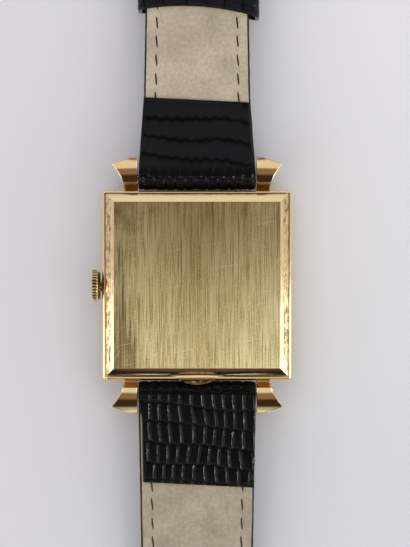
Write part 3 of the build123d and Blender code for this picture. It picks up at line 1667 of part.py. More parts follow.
def long_fold(radius):
    """The half round of the fold, on the case's side of the bar."""
    with BuildSketch(Plane.YZ) as fold:
        with Locations((-bar_y, bar_z)):
            Circle(radius)
        with Locations((-bar_y - radius, bar_z)):
            Rectangle(2 * radius, 2 * radius, mode=Mode.SUBTRACT)
    return fold.sketch_local


def long_plan():
    """Outline of the six o'clock piece from above, with its pointed end."""
    tip_y = -bar_y - long_length
    with BuildSketch() as plan:
        with BuildLine():
            Polyline(
                (point_width / 2, tip_y + point_width / 4),
                (strap_width / 2, tip_y + point_length),
                (strap_width / 2, -bar_y - long_taper),
                (strap_end_width / 2, -bar_y),
                (strap_end_width / 2, -bar_y + 2 * strap_fold),
                (-strap_end_width / 2, -bar_y + 2 * strap_fold),
                (-strap_end_width / 2, -bar_y),
                (-strap_width / 2, -bar_y - long_taper),
                (-strap_width / 2, tip_y + point_length),
                (-point_width / 2, tip_y + point_width / 4),
            )
            ThreePointArc(
                (-point_width / 2, tip_y + point_width / 4),
                (0, tip_y),
                (point_width / 2, tip_y + point_width / 4),
            )
        make_face()
    return plan.sketch_local


# The row of holes for the tongue
with BuildPart() as strap_holes:
    with BuildSketch():
        for hole in range(hole_count):
            with Locations((0, -bar_y - long_length + hole_first + hole * hole_spacing)):
                Circle(hole_radius)
    extrude(amount=back_field_z)


long_holes = [(-bar_y, bar_z, fold_hole)]
long_skin = long_side(0, 0, 0, long_length) - long_side(skin, 0, 0, long_length)
long_flap_piece = long_side(0, -skin, 0, long_flap) - long_side(0, 0, 0, long_flap)
long_round = long_fold(strap_fold) - long_fold(strap_fold - skin)

with BuildPart() as long_leather:
    add(strap_solid(long_skin + long_flap_piece + long_round, long_plan(), []).part)
    add(strap_holes.part, mode=Mode.SUBTRACT)
long_leather.part.label = "strap_6_leather"
export_step(long_leather.part, "parts/strap_6_leather.step")

long_lining_zone = long_side(skin, 0, strap_fold, long_length) - long_side(
    skin, lining, strap_fold, long_length
)
with BuildPart() as long_filler:
    add(
        strap_solid(
            long_side(skin, 0, 0, long_length) - long_lining_zone + long_fold(strap_fold - skin),
            long_plan(),
            long_holes,
        ).part
    )
    add(strap_holes.part, mode=Mode.SUBTRACT)
long_filler.part.label = "strap_6_filler"
export_step(long_filler.part, "parts/strap_6_filler.step")

with BuildPart() as long_lining:
    add(strap_solid(long_lining_zone, long_plan(), []).part)
    add(strap_holes.part, mode=Mode.SUBTRACT)
long_lining.part.label = "strap_6_lining"
export_step(long_lining.part, "parts/strap_6_lining.step")


# Keepers: leather loops round the twelve o'clock piece, square to its slope
def keeper_solid(start):
    """A loop whose near edge lies at start from the spring bar, along the strap."""
    share = (start + keeper_length / 2) / short_length
    half = strap_fold + (short_fold - strap_fold) * share
    origin = (0, bar_y, bar_z)
    slanted = Plane(
        origin=origin,
        x_dir=(1, 0, 0),
        z_dir=(0, cos(radians(short_slope)), -sin(radians(short_slope))),
    )
    inner_width = strap_width + 2 * keeper_side_gap
    # The sketch's Y points down through the strap, towards the table.
    top = -(half - skin) - keeper_top_gap
    bottom = half + keeper_room
    with BuildPart() as loop:
        with BuildSketch(slanted.offset(start)):
            with Locations((0, (top + bottom) / 2)):
                RectangleRounded(
                    inner_width + 2 * keeper_wall, bottom - top + 2 * keeper_wall, 2 * keeper_wall
                )
                RectangleRounded(inner_width, bottom - top, keeper_wall, mode=Mode.SUBTRACT)
        extrude(amount=keeper_length)
    return loop.part


fixed_keeper_at = short_length - fixed_keeper_room - keeper_length
for keeper_name, keeper_start in (("free_keeper", free_keeper_at), ("fixed_keeper", fixed_keeper_at)):
    keeper = keeper_solid(keeper_start)
    keeper.label = keeper_name
    export_step(keeper, f"parts/{keeper_name}.step")

# Buckle: a bowed frame on a pin, with a tongue that rests in the front bar's groove
buckle_width = buckle_inside + 2 * buckle_arm
buckle_back_y = buckle_pin_y - short_fold
buckle_front_y = buckle_pin_y + buckle_reach
front_bar_z = buckle_pin_z - buckle_bow
front_bar_y = buckle_front_y - buckle_front / 2

with BuildPart() as buckle:
    with BuildSketch():
        with Locations((0, (buckle_back_y + buckle_front_y) / 2)):
            Rectangle(buckle_width, buckle_front_y - buckle_back_y)
        with Locations((0, (buckle_back_y + buckle_front_y - buckle_front) / 2)):
            Rectangle(
                buckle_inside,
                buckle_front_y - buckle_front - buckle_back_y,
                mode=Mode.SUBTRACT,
            )
    extrude(amount=2 * buckle_pin_z)
    with BuildSketch(Plane.YZ):
        with BuildLine():
            low_arc = ThreePointArc(
                (buckle_back_y, buckle_pin_z - buckle_thickness / 2),
                (
                    (buckle_back_y + buckle_front_y) / 2,
                    buckle_pin_z - buckle_thickness / 2 - buckle_bow * 0.9,
                ),
                (buckle_front_y, front_bar_z - buckle_thickness / 2),
            )
            high_arc = ThreePointArc(
                (buckle_back_y, buckle_pin_z + buckle_thickness / 2),
                (
                    (buckle_back_y + buckle_front_y) / 2,
                    buckle_pin_z + buckle_thickness / 2 - buckle_bow * 0.9,
                ),
                (buckle_front_y, front_bar_z + buckle_thickness / 2),
            )
            Line(low_arc @ 0, high_arc @ 0)
            Line(low_arc @ 1, high_arc @ 1)
        make_face()
    extrude(amount=buckle_width, both=True, mode=Mode.INTERSECT)
    fillet(buckle.edges().filter_by(Axis.Z).group_by(Axis.Y)[-1], buckle_corner)
    # Eyes for the pin
    with BuildSketch(Plane.YZ):
        with Locations((buckle_pin_y, buckle_pin_z)):
            Circle(buckle_pin_radius + fit_gap)
    extrude(amount=buckle_width, both=True, mode=Mode.SUBTRACT)
    # Groove that the tongue rests in
    with BuildSketch(Plane.XZ.offset(-front_bar_y + buckle_front)):
        with Locations((0, front_bar_z - buckle_thickness / 2)):
            Rectangle(tongue_width + 2 * part_gap, 2 * tongue_groove + 2 * part_gap)
    extrude(amount=-2 * buckle_front, mode=Mode.SUBTRACT)
buckle.part.label = "buckle_frame"
export_step(buckle.part, "parts/buckle_frame.step")

with BuildPart() as buckle_pin:
    with BuildSketch(Plane.YZ.offset(-buckle_width / 2)):
        with Locations((buckle_pin_y, buckle_pin_z)):
            Circle(buckle_pin_radius)
    extrude(amount=buckle_width)
buckle_pin.part.label = "buckle_pin"
export_step(buckle_pin.part, "parts/buckle_pin.step")

tongue_end_y = front_bar_y + tongue_tip
tongue_end_z = front_bar_z - buckle_thickness / 2 + tongue_groove
with BuildPart() as tongue:
    with BuildSketch(Plane.YZ):
        with BuildLine():
            upper = ThreePointArc(
                (buckle_pin_y, buckle_pin_z - tongue_eye + tongue_thickness),
                (
                    (buckle_pin_y + tongue_end_y) / 2,
                    (buckle_pin_z - tongue_eye + tongue_thickness + tongue_end_z) / 2 - tongue_groove,
                ),
                (tongue_end_y, tongue_end_z),
            )
            lower = ThreePointArc(
                (buckle_pin_y, buckle_pin_z - tongue_eye),
                (
                    (buckle_pin_y + tongue_end_y) / 2,
                    (buckle_pin_z - tongue_eye + tongue_end_z) / 2 - tongue_groove - tongue_thickness / 2,
                ),
                (tongue_end_y, tongue_end_z - tongue_thickness),
            )
            Line(upper @ 0, lower @ 0)
            Line(upper @ 1, lower @ 1)
        make_face()
        with Locations((buckle_pin_y, buckle_pin_z)):
            Circle(tongue_eye)
            Circle(pin_hole, mode=Mode.SUBTRACT)
    extrude(amount=tongue_width / 2, both=True)
tongue.part.label = "buckle_tongue"
export_step(tongue.part, "parts/buckle_tongue.step")
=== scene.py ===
import json
from math import atan2, ceil, cos, hypot, pi, radians, sin, sqrt
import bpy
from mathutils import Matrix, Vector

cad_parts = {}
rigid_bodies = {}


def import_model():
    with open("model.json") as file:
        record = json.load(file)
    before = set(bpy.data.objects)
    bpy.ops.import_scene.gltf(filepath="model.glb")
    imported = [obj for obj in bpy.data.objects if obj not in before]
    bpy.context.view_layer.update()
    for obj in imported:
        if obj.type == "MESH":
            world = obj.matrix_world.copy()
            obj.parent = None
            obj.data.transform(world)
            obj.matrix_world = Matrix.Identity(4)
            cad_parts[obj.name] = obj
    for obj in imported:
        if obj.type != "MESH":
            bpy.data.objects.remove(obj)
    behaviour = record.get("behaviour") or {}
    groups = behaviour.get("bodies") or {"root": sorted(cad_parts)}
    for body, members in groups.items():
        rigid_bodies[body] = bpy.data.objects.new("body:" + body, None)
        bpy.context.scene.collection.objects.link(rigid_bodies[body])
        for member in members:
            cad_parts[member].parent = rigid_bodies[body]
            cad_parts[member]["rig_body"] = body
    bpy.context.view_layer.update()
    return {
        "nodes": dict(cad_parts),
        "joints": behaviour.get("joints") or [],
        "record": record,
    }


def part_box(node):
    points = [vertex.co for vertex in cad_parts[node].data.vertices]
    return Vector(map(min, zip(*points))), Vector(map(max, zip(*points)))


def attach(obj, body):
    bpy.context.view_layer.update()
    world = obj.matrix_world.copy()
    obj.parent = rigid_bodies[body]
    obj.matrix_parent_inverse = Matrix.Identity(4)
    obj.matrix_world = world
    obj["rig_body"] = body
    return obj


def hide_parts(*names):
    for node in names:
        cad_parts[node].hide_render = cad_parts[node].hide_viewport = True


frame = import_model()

from types import SimpleNamespace

import bmesh
import bpy
import numpy as np
from mathutils import Vector

# A square dress watch on a black lizard strap, lying on its crystal. Metres, in the CAD's frame:
# +Z through the watch to its back, +Y to twelve o'clock, -X to the crown. Sizes in capitals are mm.
MM = 0.001
NOISE_SPAN = (0.3, 0.7)  # most of a noise's values lie between these
nodes = frame["nodes"]
slot_of = {part["node"]: part["material_slot"] for part in frame["record"]["subparts"]}
pivots = {joint["name"]: joint.get("pos_m") for joint in frame["joints"]}


def colour(code, share=1.0):
    """An sRGB hex colour, or a share of its light, as the linear values that Blender takes. What
    isn't a hex colour, such as a socket, is given back as it is."""
    if not isinstance(code, str):
        return code
    parts = [int(code[at : at + 2], 16) / 255 for at in (1, 3, 5)]
    linear = [p / 12.92 if p <= 0.04045 else ((p + 0.055) / 1.055) ** 2.4 for p in parts]
    return (*(p * share for p in linear), 1.0)


def add_node(tree, kind, settings=None, inputs=None, stops=(), out=0):
    """Adds a node with its settings, its inputs (a value or a socket to link) and a ramp's stops,
    and gives one of its outputs, or the node itself where it has none."""
    node = tree.nodes.new(kind)
    for name, value in (settings or {}).items():
        setattr(node, name, value)
    for name, value in (inputs or {}).items():
        if isinstance(value, bpy.types.NodeSocket):
            tree.links.new(value, node.inputs[name])
        else:
            node.inputs[name].default_value = value
    if stops:
        ramp = node.color_ramp
        while len(ramp.elements) < len(stops):
            ramp.elements.new(0.5)
        for element, (place, shade) in zip(ramp.elements, stops):
            element.position = place
            element.color = shade
    return node.outputs[out] if len(node.outputs) else node


class Shading:
    """The node tree of a material or a world, and the coordinates that its patterns follow."""

    def __init__(self, owner, coordinates):
        owner.use_nodes = True
        self.tree = owner.node_tree
        self.tree.nodes.clear()
        self.place = self.add("ShaderNodeTexCoord", out=coordinates)

    def add(self, kind, settings=None, inputs=None, stops=(), out=0):
        return add_node(self.tree, kind, settings, inputs, stops, out)

    def axes(self):
        return self.add("ShaderNodeSeparateXYZ", inputs={0: self.place}).node.outputs

    def ease(self, value, low, high, out_low=0.0, out_high=1.0, slope="LINEAR"):
        """Turns the range from low to high into the range from out_low to out_high."""
        return self.add(
            "ShaderNodeMapRange",
            {"interpolation_type": slope},
            {"Value": value, "From Min": low, "From Max": high, "To Min": out_low, "To Max": out_high},
        )

    def weigh(self, *parts, start=0.0):
        """The sum of values, each times its weight."""
        total = start
        for value, weight in parts:
            terms = {0: value, 1: weight, 2: total}
            total = self.add("ShaderNodeMath", {"operation": "MULTIPLY_ADD"}, terms)
        return total

    def mix(self, share, first, second, kind="MIX"):
        settings = {"data_type": "RGBA", "blend_type": kind}
        inputs = {"Factor": share, "A": colour(first), "B": colour(second)}
        return self.add("ShaderNodeMix", settings, inputs, out="Result")


class Surface(Shading):
    """A material with one shader, to which tint, stain, gloss and relief each add a layer."""

    def __init__(self, name, constants):
        self.material = bpy.data.materials.new(name)
        super().__init__(self.material, "Object")
        constants = {key: colour(value) for key, value in constants.items()}
        self.shader = self.add("ShaderNodeBsdfPrincipled", inputs=constants).node
        surface = {"Surface": self.shader.outputs["BSDF"]}
        self.output = self.add("ShaderNodeOutputMaterial", inputs=surface)
        self.base = constants.get("Base Color")
        self.normal = None

    def link(self, name, socket):
        self.tree.links.new(socket, self.shader.inputs[name])

    def attribute(self, name):
        return self.add("ShaderNodeAttribute", {"attribute_name": name}, out="Fac")

    def noise(self, size_mm, detail=2.0, stretch=(1, 1, 1), roughness=0.5, place=None):
        """Noise whose blots measure about size_mm, drawn out along each axis by stretch."""
        scale = [1 / (size_mm * MM * s) for s in stretch]
        inputs = {"Vector": self.place if place is None else place, "Scale": scale}
        scaled = self.add("ShaderNodeMapping", inputs=inputs)
        inputs = {"Vector": scaled, "Scale": 1.0, "Detail": detail, "Roughness": roughness}
        return self.add("ShaderNodeTexNoise", inputs=inputs, out="Fac")

    def scratches(self, bearing, size_mm, threshold):
        """Sparse straight scratches in one direction, 1 on a scratch and 0 beside it."""
        inputs = {"Vector": self.place, "Rotation": (0, 0, radians(bearing))}
        turned = self.add("ShaderNodeMapping", {"vector_type": "TEXTURE"}, inputs)
        lines = self.noise(size_mm, 2.0, (70, 1, 1), place=turned)
        return self.ease(lines, threshold, threshold + 0.03)

    def tint(self, value, *stops):
        """The base colour, from a value and a ramp's stops."""
        stops = [(place, colour(shade)) for place, shade in stops]
        self.base = self.add("ShaderNodeValToRGB", inputs={"Fac": value}, stops=stops)
        self.link("Base Color", self.base)

    def stain(self, share, shade, kind="MIX"):
        """A colour over the base colour, where share says so."""
        self.base = self.mix(share, self.base, shade, kind)
        self.link("Base Color", self.base)

    def gloss(self, value, low, high, span=NOISE_SPAN):
        """Roughness from low to high, where the value goes through its span."""
        self.link("Roughness", self.ease(value, *span, low, high))

    def relief(self, height, depth_mm, strength=1.0):
        """A bump whose full height is depth_mm, on top of those before it."""
        inputs = {"Height": height, "Distance": depth_mm * MM, "Strength": strength}
        if self.normal is not None:
            inputs["Normal"] = self.normal
        self.normal = self.add("ShaderNodeBump", inputs=inputs)
        self.link("Normal", self.normal)


def gold_polished():
    """Gold plate, polished: a warm mirror with faint waves and hairlines."""
    gold = Surface("gold_plate_polished", {"Base Color": "#FBE4B2", "Metallic": 1.0})
    hairlines = gold.noise(0.12, 3.0, (1, 14, 6))
    gold.gloss(hairlines, 0.05, 0.16, (0.3, 0.75))
    gold.relief(gold.noise(2.2, 1.0), 0.02, 0.5)
    gold.relief(hairlines, 0.002, 0.5)
    return gold.material


BACK_DOME = (2.4, 0.9, 0.0)  # how fast the back's slight dome turns away, in radians per metre
BACK_SCRATCHES = ((12, 0.09, 0.69), (58, 0.08, 0.71), (-35, 0.08, 0.71))  # bearing, mm, threshold
PAINTED_MIDDLE_FROM = 1.0  # from the back's middle line, where the painted dark reflection down the middle fades out
PAINTED_MIDDLE_TO = 7.0


def gold_brushed():
    """Gold plate brushed along the strap's line: long satin lines over a mirror, which spread what
    they reflect to both sides, with dark streaks and scratches. A painted dark reflection runs down
    the middle, and a brown patina towards the corner at -X and +Y is partly painted shade."""
    gold = Surface("gold_plate_brushed", {"Metallic": 1.0, "Anisotropic": 1.0})
    axes = gold.axes()
    fine = gold.noise(0.09, 3.0, (1, 70, 20), 0.7)
    middle = gold.noise(0.22, 2.0, (1, 60, 20))
    broad = gold.noise(1.3, 2.0, (1, 9, 1))
    mottle = gold.noise(0.14, 3.0, (1, 1.6, 1), 0.7)
    lines = gold.weigh((fine, 0.58), (middle, 0.2), (mottle, 0.22))
    gold.tint(lines, (0.425, "#B0A266"), (0.5, "#F2E7B0"), (0.58, "#FEFAD0"))
    near_low_corner = gold.weigh((axes["X"], -200.0), (axes["Y"], -60.0), (broad, 1.1))
    streaks = gold.weigh((middle, 1.0), (fine, 1.8), (near_low_corner, 0.42))
    gold.stain(gold.ease(streaks, 2.48, 2.7, 0.0, 0.9), "#6E5C3A")
    # Painted dark reflection: the back's middle band is darkened, fading out to the sides
    aside = gold.add("ShaderNodeMath", {"operation": "ABSOLUTE"}, {0: axes["X"]})
    painted_dark_middle = gold.ease(aside, PAINTED_MIDDLE_FROM * MM, PAINTED_MIDDLE_TO * MM, 0.8, 0.0)
    gold.stain(painted_dark_middle, "#E3DFD2", "MULTIPLY")
    # Brown patina in clouds, pushed towards the corner at -X and +Y as painted shade
    cloud = gold.noise(2.6, 4.0, roughness=0.65)
    patina_and_shade_near_high_corner = gold.weigh((axes["X"], -60.0), (axes["Y"], 60.0), (cloud, 2.0))
    gold.stain(gold.ease(patina_and_shade_near_high_corner, 1.9, 2.6, 0.0, 0.6), "#7E6440")
    scratches = gold.weigh(*[(gold.scratches(*line), 1.0) for line in BACK_SCRATCHES])
    gold.stain(scratches, "#FFF6DC")
    gold.gloss(broad, 0.34, 0.4)
    across_lines = gold.add(
        "ShaderNodeVectorTransform",
        {"vector_type": "VECTOR", "convert_from": "OBJECT", "convert_to": "WORLD"},
        {"Vector": (1.0, 0.0, 0.0)},
    )
    gold.link("Tangent", across_lines)
    turn_away = {0: gold.place, 1: BACK_DOME}
    bent = gold.add("ShaderNodeVectorMath", {"operation": "MULTIPLY"}, turn_away)
    product = {0: gold.place, 1: bent}
    dome = gold.add("ShaderNodeVectorMath", {"operation": "DOT_PRODUCT"}, product, out="Value")
    gold.relief(gold.weigh((dome, -1 / MM)), 1.0)
    gold.relief(lines, 0.012, 0.6)
    gold.relief(scratches, 0.004, 0.5)
    return gold.material


def gold_fluted():
    """Polished gold plate whose flutes are stained dark brown and duller, as painted shade."""
    gold = Surface("gold_plate_fluted", {"Base Color": "#FBE9B8", "Metallic": 1.0})
    shade_mottle = gold.noise(0.3, 3.0)
    depth = gold.weigh((gold.attribute("groove"), 1.0), (shade_mottle, 0.3))
    flute_shade = gold.ease(depth, 0.35, 0.85, 0.0, 0.92)
    # Painted shade: the flutes, and the crown's back end beside the case, are stained dark brown
    gold.stain(flute_shade, "#4A2C08")
    gold.gloss(flute_shade, 0.14, 0.42, (0.0, 1.0))
    return gold.material


def gold_streaked():
    """Polished gold plate, darker and duller in lengthwise streaks."""
    gold = Surface("gold_plate_streaked", {"Metallic": 1.0})
    streaks = gold.noise(0.16, 3.0, (1, 12, 2), 0.6)
    dents = gold.noise(0.5, 3.0, (1, 1.5, 1), 0.7)
    wear = gold.weigh((streaks, 0.55), (dents, 0.45))
    gold.tint(wear, (0.42, "#8E7550"), (0.5, "#DCC598"), (0.55, "#FBE4B2"))
    gold.gloss(wear, 0.3, 0.08, (0.42, 0.55))
    gold.relief(wear, 0.02, 0.6)
    return gold.material


def plain(name, constants, grain=None, gloss=(), relief=(), cloud=None, stops=()):
    """A material whose gloss and relief follow one grain. Its tint follows broad clouds, or else the
    grain. Grain and cloud are a noise's arguments, gloss and relief those of the layers."""
    surface = Surface(name, constants)
    if grain:
        pattern = surface.noise(*grain)
        surface.gloss(pattern, *gloss)
        if relief:
            surface.relief(pattern, *relief)
    if stops:
        surface.tint(surface.noise(*cloud) if cloud else pattern, *stops)
    return surface.material


def plain_metal(name, base, gloss, grain_mm, depth_mm, stretch=(1, 1, 1)):
    """A metal with one tint, a mottled gloss and the fine texture of its finish."""
    stops = ((0.35, colour(base, 0.86)), (0.65, base))
    cloud = (12 * grain_mm,)
    grain = (grain_mm, 3.0, stretch)
    return plain(name, {"Metallic": 1.0}, grain, gloss, (depth_mm,), cloud, stops)


def lizard_leather():
    """Lizard skin, dyed black and glazed: glossy scales, duller in the grooves and blackened there as
    painted shade, and on the flaps and keepers a greyer colour that is partly painted sheen."""
    skin = Surface("lizard_leather_glazed_black", {"Specular IOR Level": 0.14})
    groove = skin.attribute("groove")
    cloud = skin.noise(1.6, 3.0)
    skin.tint(cloud, (0.3, "#08090B"), (0.7, "#0F1013"))
    # Painted sheen, partly the skin's own colour: the flaps and keepers are made greyer
    skin.stain(skin.attribute("tone_and_sheen"), "#1E1F23")
    # Painted shade: the grooves are blackened
    skin.stain(groove, "#070706")
    skin.link("Roughness", skin.weigh((groove, 0.1), (cloud, 0.1), start=0.13))
    skin.relief(skin.noise(0.09, 3.0), 0.004, 0.6)
    return skin.material


LINING_SHADE_FROM = -9.0  # along Y, where the painted shade on the long half's lining begins
LINING_SHADE_TO = -13.0


def nubuck():
    """Nubuck, sanded calfskin: matt beige with a short nap, darker where it has been rubbed. The long
    half, on the six o'clock side, is darker all over as painted shade."""
    constants = {"Roughness": 0.95, "Sheen Weight": 0.25, "Sheen Roughness": 0.5}
    nap = Surface("nubuck_beige", constants)
    wear = nap.weigh((nap.noise(0.5, 3.0), 0.45), (nap.noise(4.5, 3.0), 0.55))
    nap.tint(wear, (0.34, "#ABA08B"), (0.5, "#BFB29B"), (0.64, "#CEC2AD"))
    # Painted shade: the long half's lining is darkened all over
    long_half = nap.ease(nap.axes()["Y"], LINING_SHADE_TO * MM, LINING_SHADE_FROM * MM, 1.0, 0.0)
    nap.stain(long_half, "#E2E3E2", "MULTIPLY")
    nap.relief(nap.noise(0.11, 4.0), 0.035, 0.7)
    return nap.material


GOLD = gold_polished()
LEATHER = lizard_leather()
NUBUCK = nubuck()
# Gold plate, tarnished and darkened as painted shade in the recesses at the lugs' necks
GOLD_TARNISH_AND_SHADE = plain_metal("gold_plate_tarnish_and_shade", "#D0B083", (0.12, 0.26), 0.1, 0.004)
# Gold plate handled for years: dull, with brown tarnish and rubbed streaks. Its browns are also
# painted shade on the crown's tube and a painted dark reflection in the lip's scoop
metal = {"Metallic": 1.0}
streaks = (0.22, 3.0, (3, 1, 1), 0.6)
dull = (0.4, 0.15, (0.35, 0.65))
browns = ((0.38, "#4E3A2A"), (0.5, "#94805F"), (0.62, "#E0CFA6"))
GOLD_WORN_AND_SHADED = plain("gold_plate_worn_and_shaded", metal, streaks, dull, (0.05, 0.8), stops=browns)
# Leather's cut edge, sealed with black paint: satin, slightly lumpy
sealed = {"Base Color": "#171514", "Specular IOR Level": 0.3}
EDGE = plain("edge_paint_black", sealed, (0.35, 3.0), (0.42, 0.62), (0.03, 0.7))
# Linen thread, dyed black and waxed: a tight twist with a dull shine
waxed = {"Base Color": "#17140F"}
THREAD = plain("linen_thread_black", waxed, (0.12, 1.0, (1, 0.5, 1)), (0.4, 0.6), (0.05, 0.8))
# Dial printing: a thin, even black lacquer
PRINT = plain("dial_printing_black", {"Base Color": "#191919"}, (0.3,), (0.3, 0.45))
# Acrylic sheet, moulded and polished: clear, with hairlines from wear
clear = {"Base Color": "#FBFCFA", "Transmission Weight": 1.0, "IOR": 1.49}
ACRYLIC = plain("acrylic_clear", clear, (0.1, 4.0, (1, 18, 1)), (0.01, 0.07, (0.4, 0.8)))
# Synthetic ruby, polished: deep pink-red and glassy
glassy = {"Roughness": 0.06, "IOR": 1.77, "Coat Weight": 0.5}
pinks = ((0.35, "#8A0F2E"), (0.65, "#C2224C"))
RUBY = plain("ruby_polished", glassy, cloud=(0.4,), stops=pinks)
# Silvered dial: a pale matt plating over a fine grain
pales = ((0.3, "#E4DFCF"), (0.7, "#F1EEE3"))
plating = {"Metallic": 0.35}
SILVERED = plain(
    "dial_silvered", plating, (0.05, 3.0), (0.34, 0.48), (0.003, 0.5), cloud=(4.0,), stops=pales
)
# The metals of the movement, hands and spring bars: blued, turned, gilt, hardened and polished
finishes = {
    "polished_gold": GOLD,
    "brushed_gold_back": GOLD,
    "crystal": ACRYLIC,
    "dial_silver": SILVERED,
    "ruby": RUBY,
    "black_leather": LEATHER,
    "strap_edge": EDGE,
    "nubuck_lining": NUBUCK,
    "blued_steel": plain_metal("steel_blued", "#22366E", (0.1, 0.2), 0.08, 0.002),
    "brass": plain_metal("brass_satin", "#D9B866", (0.24, 0.38), 0.06, 0.003),
    "gilt_brass": plain_metal("brass_gilt_frosted", "#E3C47A", (0.34, 0.48), 0.04, 0.006),
    "spring_steel": plain_metal("spring_steel_satin", "#8E9094", (0.28, 0.4), 0.06, 0.003),
    "steel": plain_metal("steel_polished", "#C9CACC", (0.12, 0.24), 0.08, 0.002, (1, 10, 10)),
}
# The crown's tube takes the darker worn gold as painted shade
for name, node in nodes.items():
    node.data.materials.clear()
    node.data.materials.append(GOLD_WORN_AND_SHADED if name == "crown_tube" else finishes[slot_of[name]])


def low_corner(name):
    return np.array(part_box(name)[0]) / MM


def high_corner(name):
    return np.array(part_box(name)[1]) / MM


def middle_of(name):
    return (low_corner(name) + high_corner(name)) / 2


def new_object(name, data):
    piece = bpy.data.objects.new(name, data)
    bpy.context.scene.collection.objects.link(piece)
    return piece


def make_piece(name, points, faces, materials, smooth=True):
    """A mesh piece from points and faces."""
    mesh = bpy.data.meshes.new(name)
    mesh.from_pydata([tuple(p) for p in points], [], faces)
    mesh.update()
    if smooth:
        mesh.polygons.foreach_set("use_smooth", [True] * len(mesh.polygons))
    for material in materials:
        mesh.materials.append(material)
    return new_object(name, mesh)


def store(piece, title, rows, kind="FLOAT", field="value"):
    """Keeps a value or a vector for each of a piece's points."""
    layer = piece.data.attributes.new(title, kind, "POINT")
    layer.data.foreach_set(field, np.asarray(rows, dtype=np.float32).reshape(-1))


def apply_modifiers(piece):
    """Turns the piece's modifiers into plain mesh."""
    graph = bpy.context.evaluated_depsgraph_get()
    mesh = bpy.data.meshes.new_from_object(piece.evaluated_get(graph))
    piece.modifiers.clear()
    piece.data = mesh


def stand_in(piece, node_name):
    """Puts a piece in a CAD node's place, on its body, and hides the node."""
    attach(piece, nodes[node_name]["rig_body"])
    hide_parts(node_name)


def cut_out(pieces, cutters):
    """Cuts closed shapes out of pieces. The shapes themselves don't stay."""
    for piece in pieces:
        for cutter in cutters:
            cut = piece.modifiers.new("cut", "BOOLEAN")
            cut.operation = "DIFFERENCE"
            cut.solver = "EXACT"
            cut.object = cutter
        apply_modifiers(piece)
    for cutter in cutters:
        bpy.data.objects.remove(cutter)


# Pieces with rounded edges: how far each is rounded, and from which angle on an edge is sharp
EDGES = {
    "case_band": 0.13,
    "bezel": 0.06,
    "caseback": 0.045,
    "buckle_frame": 0.12,
    "buckle_tongue": 0.08,
    "train_bridge": 0.03,
    "pallet_bridge": 0.03,
}
SHARP_TURN = radians(30)
FLAT_TURN = radians(0.2)
WELD = 0.002


def softened(node_name, segments=2, rim=None, cutters=()):
    """A copy of a CAD node with its sharp edges rounded, standing in for the node. Edges for which
    the test in rim holds are rounded by the length in rim instead. Cutters are taken out of it."""
    mesh = nodes[node_name].data.copy()
    mesh.name = node_name + "_softened"
    edge_size = EDGES[node_name]
    widest = rim[1] if rim else edge_size
    shape = bmesh.new()
    shape.from_mesh(mesh)
    bmesh.ops.remove_doubles(shape, verts=shape.verts, dist=WELD * MM)
    bmesh.ops.dissolve_limit(shape, angle_limit=FLAT_TURN, verts=shape.verts, edges=shape.edges)
    weight = shape.edges.layers.float.new("bevel_weight_edge")
    for edge in shape.edges:
        if edge.calc_face_angle(0) > SHARP_TURN:
            edge[weight] = 1.0 if rim and rim[0](edge) else edge_size / widest
    shape.to_mesh(mesh)
    shape.free()
    if "custom_normal" in mesh.attributes:
        mesh.attributes.remove(mesh.attributes["custom_normal"])
    mesh.polygons.foreach_set("use_smooth", [True] * len(mesh.polygons))
    piece = new_object(node_name + "_softened", mesh)
    rounding = piece.modifiers.new("edge", "BEVEL")
    rounding.width = widest * MM
    rounding.segments = segments
    rounding.limit_method = "WEIGHT"
    rounding.harden_normals = True
    rounding.use_clamp_overlap = rim is None
    apply_modifiers(piece)
    if cutters:
        cut_out([piece], cutters)
    stand_in(piece, node_name)
    return piece


FACING_UP = 0.3  # how far a face looks up or aside: a part of its normal
LEVEL = 0.9
SIDEWAYS = 0.5
BAND_RIM = 0.42
BAND_RIM_OUT = 12.5
BAND_RIM_REACH = 0.6
BAND_RIM_LOW = 5.5
field_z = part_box("caseback")[1].z


def on_band_rim(edge):
    """Whether an edge runs round the band's back outside, but for the lugs."""
    spots = [vert.co / MM for vert in edge.verts]
    flat = any(face.normal.z > LEVEL for face in edge.link_faces)
    outside = all(max(abs(spot.x), abs(spot.y)) > BAND_RIM_OUT for spot in spots)
    off_lugs = all(abs(spot.y) < BAND_RIM_OUT + BAND_RIM_REACH for spot in spots)
    return flat and outside and off_lugs and all(spot.z > BAND_RIM_LOW for spot in spots)


def finish_faces(piece, material, test):
    """Gives a material to the faces for which a test of their middle, in mm, and normal holds."""
    piece.data.materials.append(material)
    for face in piece.data.polygons:
        if test(face.center / MM, face.normal):
            face.material_index = len(piece.data.materials) - 1


band = softened("case_band", segments=4, rim=(on_band_rim, BAND_RIM))
softened("bezel")
back = softened("caseback")
softened("buckle_frame")
softened("buckle_tongue")

# The band's sides at the lugs' necks are tarnished and darkened as painted shade. The back's flat
# field is brushed, its lip's scoop is worn and darkened as a painted dark reflection, and the outer
# parts of the side bevels are streaked darker.
NECK_FROM = 12.9
NECK_TO = 13.73
FIELD_GIVE = 0.01
FIELD_LEVEL = 0.999
LIP_OUT = 12.75
LIP_HALF = 3.2
STREAKED_FROM = 11.55


def at_neck(spot, normal):
    return NECK_FROM < abs(spot.y) < NECK_TO and spot.z < field_z / MM


def on_field(spot, normal):
    return spot.z > field_z / MM - FIELD_GIVE and normal.z > FIELD_LEVEL


def in_scoop(spot, normal):
    return spot.y < -LIP_OUT and abs(spot.x) < LIP_HALF and normal.z > FACING_UP


def on_side_bevel(spot, normal):
    return abs(spot.x) > STREAKED_FROM and abs(normal.x) > SIDEWAYS and normal.z > FACING_UP


finish_faces(band, GOLD_TARNISH_AND_SHADE, at_neck)
finish_faces(back, gold_brushed(), on_field)
# Painted dark reflection: the lip's scoop takes the darker worn gold
finish_faces(back, GOLD_WORN_AND_SHADED, in_scoop)
finish_faces(back, gold_streaked(), on_side_bevel)


